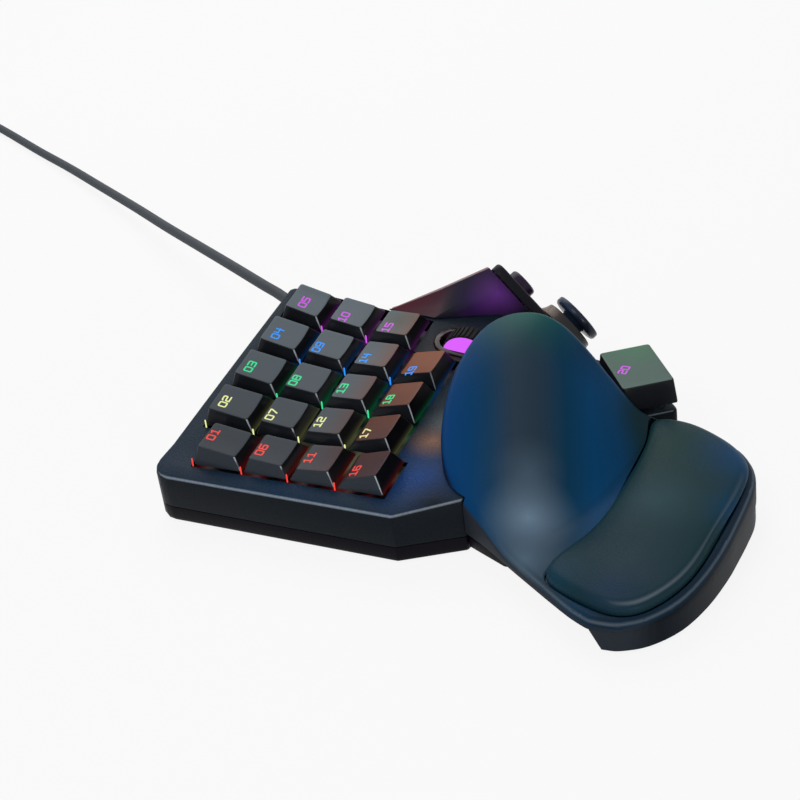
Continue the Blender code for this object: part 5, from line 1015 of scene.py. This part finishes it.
palmRim = [
    (0, 0.11), (-0.016, 0.2), (-0.02, 0.3), (-0.008, 0.39), (0, 0.48), (0, 0.55),
    (-0.03, 0.605), (-0.055, 0.655), (-0.04, 0.725), (0, 0.81), (0.05, 0.905), (0.135, 0.972),
    (0.23, 1), (0.33, 1.006), (0.44, 1.006), (0.549, 1.003), (0.699, 0.986), (0.838, 0.948),
    (0.94, 0.883), (0.99, 0.812), (1, 0.765), (1, 0.73), (0.995, 0.705), (0.962, 0.64), (0.91, 0.563),
    (0.85, 0.478), (0.79, 0.394), (0.7, 0.272), (0.632, 0.169), (0.55, 0.085), (0.439, 0.028),
    (0.299, 0), (0.15, 0.005), (0.045, 0.042)]
padRim = [
    (0.006, 0.592), (0.11, 0.61), (0.21, 0.616), (0.345, 0.618), (0.479, 0.614),
    (0.58, 0.602), (0.659, 0.582), (0.73, 0.552), (0.788, 0.531), (0.858, 0.535),
    (0.908, 0.61), (0.95, 0.723), (0.956, 0.798), (0.918, 0.864), (0.812, 0.926),
    (0.679, 0.96), (0.479, 0.972), (0.279, 0.97), (0.165, 0.944), (0.085, 0.88),
    (0.025, 0.785), (-0.012, 0.7), (-0.016, 0.64)]
baseCorners = [  # the base's outline, each corner with the radius of its round
    (-17.1, 21.5, 8), (83.845, 14.5, 2), (88.845, 8.5, 2), (88.845, -28.5, 2), (109.945, -59, 6),
    (109.945, -86, 6), (101.445, -104, 0), (94.047, -129.815, 2), (72.489, -148.564, 2),
    (60.152, -132.192, 2), (60.152, -104, 0), (-4, -99, 2), (-17.1, -78.2, 2)]


def smoothRim(shares, parts=4):
    points = [Vector((palm["right"] - a * palm["width"], palm["back"] - b * palm["length"])) for a, b in shares]
    rim = []
    for index in range(len(points)):
        rim += smoothly(*(points[(index + k) % len(points)] for k in (-1, 0, 1, 2)), parts)
    return rim


def drawnIn(points, distance, sharpest=0.3):
    turning = sum(a.x * b.y - b.x * a.y for a, b in zip(points, points[1:] + points[:1]))
    side = copysign(1, turning)
    moved = []
    for before, here, after in around(points):
        first, second = (leftOf(way.normalized()) * side for way in (here - before, after - here))
        middle = (first + second).normalized()
        moved.append(here + middle * distance / max(middle.dot(first), sharpest))
    return moved


def solidOver(rim, low, high, edge=0, cell=0):
    tall, turns = 100, [radians(angle) for angle in (0, 18, 36, 54, 72, 90)]
    levels = [(edge * (1 - cos(turn)), tall - edge * (1 - sin(turn))) for turn in turns]
    bm = bmesh.new()
    skinRings(bm, [[(p.x, p.y, z) for p in drawnIn(rim, inward)]
                   for inward, z in [(0, 0)] + (levels if edge else [(0, tall)])])
    for axis in (0, 1) if cell else ():
        values = [p[axis] for p in rim]
        for line in range(floor(min(values) / cell) + 1, ceil(max(values) / cell)):
            point, normal = Vector((0, 0, 0)), Vector((0, 0, 0))
            point[axis], normal[axis] = line * cell, 1
            bmesh.ops.bisect_plane(bm, geom=bm.verts[:] + bm.edges[:] + bm.faces[:], plane_co=point,
                                   plane_no=normal, dist=0.0001)
    for vert in bm.verts:
        x, y, z = vert.co
        vert.co.z = high(x, y) + z - tall if z > tall / 2 else low(x, y)
    bmesh.ops.triangulate(bm, faces=[f for f in bm.faces if len(f.verts) > 4 or cell])
    for vert in bm.verts:
        vert.co = spot(*vert.co)
    return meshOf(bm)


def flat(height):
    return lambda x, y: height


def roundCorners(corners, grow, steps=4):
    points = []
    for cornerBefore, (x, y, radius), cornerAfter in around(corners):
        here = Vector((x, y))
        if radius <= 0:
            points.append(here)
            continue
        before, after = ((Vector(corner[:2]) - here).normalized() for corner in (cornerBefore, cornerAfter))
        half = before.angle(after) / 2
        centre = here + (before + after).normalized() * radius / sin(half)
        start, end = (here + way * radius / tan(half) - centre for way in (before, after))
        turn = start.angle_signed(end)
        points += [centre + Matrix.Rotation(-turn * step / steps, 2) @ start for step in range(steps + 1)]
    return drawnIn(points, -grow)


shell = {"wall": 2.6, "underside": 9, "pocketDepth": 1.4, "pocketGrow": 2.2, "deckGap": 0.7, "rimInset": 0.3,
         "skirtInset": 7, "skirtShares": (0.715, 0.755), "skirtFloor": 1.5, "postX": (43.159, 13.059),
         "postY": -125.9, "postLow": 12.8, "postHalf": 1.8, "smoothAngle": 40, "flare": (1.2, 1.5),
         "lip": ((0, -1.4), (0, -0.9), (0.12, -0.45), (0.42, -0.15), (0.9, 0.02), (0.9, 60))}


def easedPocket(rim):
    most, fade = shell["flare"]
    flare = [(wide - p) * held(most - (palmHeight(*p) - padPlane(*p)) / fade)
             for p, wide in zip(rim, drawnIn(rim, -1))]
    return ringMesh([[spot(*(p + f * out), padPlane(*p) + lift) for p, f in zip(rim, flare)]
                     for out, lift in shell["lip"]])


def skirt(rim):
    start, full = (palm["back"] - share * palm["length"] for share in shell["skirtShares"])
    chosen = [k for k, p in enumerate(rim) if p.y < start]
    first = next(k for k in chosen if k - 1 not in chosen)
    chosen = [k for k in chosen if k >= first] + [k for k in chosen if k < first]
    outer, inner = drawnIn(rim, shell["rimInset"]), drawnIn(rim, shell["skirtInset"])
    bottom, top = shell["skirtFloor"], shell["underside"]
    return solidOver([outer[k] for k in chosen] + [inner[k] for k in reversed(chosen)],
                     lambda x, y: bottom + (top - bottom) * held((y - full) / (start - full)),
                     flat(top + shell["wall"] / 3))


def post(x, y):
    half = shell["postHalf"]
    square = [(x - half, y - half), (x + half, y - half), (x + half, y + half), (x - half, y + half)]
    roof = min(palmHeight(*corner) for corner in square) - shell["wall"] * 2 / 3
    return ringMesh([[spot(*corner, z) for corner in square] for z in (shell["postLow"], roof)])


def palmShell():
    rim, pocketRim, wall, under = smoothRim(palmRim), smoothRim(padRim), shell["wall"], shell["underside"]
    body = solidOver(rim, flat(under), palmHeight, palm["edge"], palm["facet"])
    hollow = solidOver(drawnIn(rim, wall), flat(under - 2), lambda x, y: palmHeight(x, y) - wall,
                       palm["edge"] - wall / 2, palm["facet"] * 3)
    pocket = solidOver(drawnIn(pocketRim, -shell["pocketGrow"]),
                       lambda x, y: padPlane(x, y) - (shell["pocketDepth"] + wall), flat(90))
    deckSpace = solidOver(roundCorners(baseCorners, shell["deckGap"]), flat(-2),
                          lambda x, y: deckHeight(x, y) + shell["deckGap"], 0, 12)
    hollow = carved(hollow, ("DIFFERENCE", pocket))
    cuts = [("DIFFERENCE", tool) for tool in (hollow, easedPocket(pocketRim), deckSpace)]
    posts = [("UNION", post(x, shell["postY"])) for x in shell["postX"]]
    mesh = carved(body, *cuts, ("UNION", skirt(rim)), *posts)
    domeNormals(makePiece("palmShell", mesh, "dome", "palm_shell", smoothAngle=shell["smoothAngle"]).data)


def domeNormals(mesh, step=0.5, steepest=0.35, farthest=0.02):
    normals = [corner.vector.copy() for corner in mesh.corner_normals]
    for polygon in mesh.polygons:
        for loop in polygon.loop_indices if polygon.normal.z >= steepest else ():
            x, y, z = (mesh.vertices[mesh.loops[loop].vertex_index].co - keyOne) * 1000
            if abs(z - palmHeight(x, y)) < farthest:
                slopeX = (palmHeight(x + step, y) - palmHeight(x - step, y)) / (2 * step)
                slopeY = (palmHeight(x, y + step) - palmHeight(x, y - step)) / (2 * step)
                normals[loop] = unit(-slopeX, -slopeY, 1)
    mesh.normals_split_custom_set(normals)


palmShell()

cushion = {"gap": 0.35, "edge": 3, "belly": 0.9, "crown": 1.5, "overhang": 2.2, "pressure": 4, "cap": 0.0009,
           "frames": 20, "quality": 5, "seatLift": 0.1, "fill": 0.7, "ease": 3, "smoothAngle": 80,
           "spine": (0.48, 0.32, 0.765), "freeEdge": ((0.62, 0.12), (0.55, 0.35)),
           "foot": ((1, -1.05, 0), (0.2, -0.95, 0), (0, -0.6, 0), (0, 0.05, 0), (0, 0.45, 0.6)),
           "edgeAngles": (0, 15, 30, 45, 60, 75, 90),
           "topShares": (0.94, 0.87, 0.79, 0.7, 0.6, 0.49, 0.37, 0.25, 0.14)}


def cushionRings():
    rim = drawnIn(smoothRim(padRim, 3), cushion["gap"])
    ((lowB, fadeB), (highA, fadeA)), outwards = cushion["freeEdge"], []
    for here, wider in zip(rim, drawnIn(rim, -1)):
        a, b = shareOf(*here)
        free = held((b - lowB) / fadeB) * held((highA - a) / fadeA)
        outwards.append((wider - here) * cushion["overhang"] * free)

    def ring(inward, lift, swell):
        line = drawnIn(rim, inward)
        for _ in range(round(inward * cushion["ease"])):  # tight corners ease as the ring moves in
            line = [(before + 2 * here + after) / 4 for before, here, after in around(line)]
        return [spot(*(p + out * swell), padPlane(*p) + lift) for p, out in zip(line, outwards)]

    belly, edge = cushion["belly"], cushion["edge"]
    rings = [ring(*row) for row in cushion["foot"]]
    for turn in map(radians, cushion["edgeAngles"]):
        rings.append(ring(edge * (1 - cos(turn)), belly + edge * sin(turn), 1 - 0.5 * sin(turn)))
    middleA, bend, middleB = cushion["spine"]
    last = [(point - keyOne) * 1000 for point in rings[-1]]
    for share in cushion["topShares"]:
        inner = []
        for here in last:
            across = middleA + bend * tanh((shareOf(here.x, 0)[0] - middleA) / bend)
            spineX, spineY = palm["right"] - palm["width"] * across, palm["back"] - palm["length"] * middleB
            x, y = spineX + (here.x - spineX) * share, spineY + (here.y - spineY) * share
            inner.append(spot(x, y, padPlane(x, y) + belly + edge + cushion["crown"] * (1 - share ** 2)))
        rings.append(inner)
    return rings


def paddedRest():
    bm = bmesh.new()
    skinRings(bm, cushionRings())
    bmesh.ops.triangulate(bm, faces=[f for f in bm.faces if len(f.verts) > 4])
    mesh = meshOf(bm)
    mesh = puffed(mesh)
    mesh = applied(mesh, ("SUBSURF", {"levels": 1, "render_levels": 1}))
    rest = makePiece("palmCushion", mesh, "leather", "palm_cushion", smoothAngle=cushion["smoothAngle"])


def puffed(mesh):
    scene = bpy.context.scene
    start = [vert.co.copy() for vert in mesh.vertices]
    holder = inScene(mesh, "puff")
    places = [(place - keyOne) * 1000 for place in start]
    seat = [index for index, (x, y, z) in enumerate(places) if z < padPlane(x, y) + cushion["seatLift"]]
    holder.vertex_groups.new(name="seat").add(seat, 1, "REPLACE")
    cloth = holder.modifiers.new("cloth", "CLOTH")
    settings = cloth.settings
    settings.quality, settings.vertex_group_mass = cushion["quality"], "seat"
    settings.use_pressure, settings.uniform_pressure_force = True, cushion["pressure"]
    settings.effector_weights.gravity = 0
    cloth.point_cache.frame_start, cloth.point_cache.frame_end = 1, cushion["frames"]
    for number in range(1, cushion["frames"] + 1):
        scene.frame_set(number)
    swollen = meshFrom(holder)
    scene.frame_set(1)
    for vert, before in zip(swollen.vertices, start):
        move = vert.co - before
        vert.co = before + move.normalized() * min(move.length, cushion["cap"])
    return swollen


paddedRest()
print("palm rest made")


# Gland, and the CAD nodes that stay as they are
glandRibs = {"count": 5, "first": 1.2, "pitch": 2.2, "radius": 3.75, "taper": 0.11, "depth": 0.45, "sides": 40}


def gland():
    profile = [(3.4, -3.7), (3.4, -2.4), (2.6, -2.4), (2.6, 0.3), (3.8, 0.3)]
    for ring in range(glandRibs["count"]):
        start = glandRibs["first"] + ring * glandRibs["pitch"]
        radius = glandRibs["radius"] - ring * glandRibs["taper"]
        groove = radius - glandRibs["depth"]
        profile += [(radius, start), (groove, start + 0.15), (groove, start + 0.85), (radius - 0.05, start + 1)]
    profile += [(3.2, 12.3), (3, 12.5)]
    turnedPiece("cordGland", profile, glandMatrix(), "rubber", "cable_gland", glandRibs["sides"], False)


gland()

stayed = {"key_plate": "plate", "dome_sheet": "silicone", "main_board": "board", "thumb_board": "board",
          "wheel_axle": "steel", "wheel_carriage": "wall", "wheel_encoder": "wall", "wheel_bracket": "wall",
          "palm_rail_right": "steel", "palm_rail_left": "steel", "usb_plug_shell": "steel"}
for index in range(1, 5):
    stayed[f"rubber_foot_{index}"], stayed[f"base_screw_{index}"] = "rubber", "steel"
for node, material in stayed.items():
    for holder in frame["nodes"][node].material_slots:
        holder.material = materials[material]
    if not frame["nodes"][node].material_slots:
        frame["nodes"][node].data.materials.append(materials[material])


# Floor, surroundings and lamps
studio = {"fill": 0.25, "floorShare": 0.88, "floorHalf": 4, "floorGrey": 0.86, "lights": (
    ("keyLight", (-0.75, 0.1, 0.85), (0, -0.02, 0.02), 0.45, 2.6),
    ("farLight", (0.57, 0.44, 0.83), (0, 0, 0.02), 0.95, 4.8),
    ("stripLight", (-0.7, -0.69, 0.16), (0, 0, 0.03), 0.06, 1.6))}


def seenWhite(tree):
    path = tree.nodes.new("ShaderNodeLightPath")
    kinds = ("Camera", "Glossy", "Transmission")
    camera, glossy, through = (Wire(tree, path.outputs[f"Is {kind} Ray"]) for kind in kinds)
    return (camera + glossy + through).clamp()


def makeFloor():
    material = bpy.data.materials.new("floor")
    material.use_nodes = True
    tree = material.node_tree
    tree.nodes.clear()
    matt = addNode(tree, "ShaderNodeBsdfDiffuse", Color=(studio["floorGrey"],) * 3)
    mix = addNode(tree, "ShaderNodeMixShader", i0=seenWhite(tree) * studio["floorShare"], i1=matt,
                  i2=addNode(tree, "ShaderNodeEmission"))
    plug(tree, mix, tree.nodes.new("ShaderNodeOutputMaterial").inputs[0])
    half = studio["floorHalf"]
    mesh = bpy.data.meshes.new("floor")
    corners = [(-half, -half, 0), (half, -half, 0), (half, half, 0), (-half, half, 0)]
    mesh.from_pydata(corners, [], [(0, 1, 2, 3)])
    mesh.materials.append(material)
    inScene(mesh, "floor")


def makeWorld():
    world = bpy.data.worlds.new("studio")
    bpy.context.scene.world = world
    world.use_nodes = True
    tree = world.node_tree
    background = tree.nodes["Background"]
    plug(tree, (1, 1, 1), background.inputs["Color"])
    plug(tree, studio["fill"] + seenWhite(tree) * (1 - studio["fill"]), background.inputs["Strength"])


def softLight(name, place, target, size, power):
    data = bpy.data.lights.new(name, "AREA")
    data.shape, data.size, data.energy = "DISK", size, power
    light = inScene(data, name)
    light.location = place
    light.rotation_euler = (Vector(target) - Vector(place)).to_track_quat("-Z", "Y").to_euler()


makeFloor()
makeWorld()
for light in studio["lights"]:
    softLight(*light)
bpy.context.scene.view_settings.view_transform = "Standard"
print("studio made")
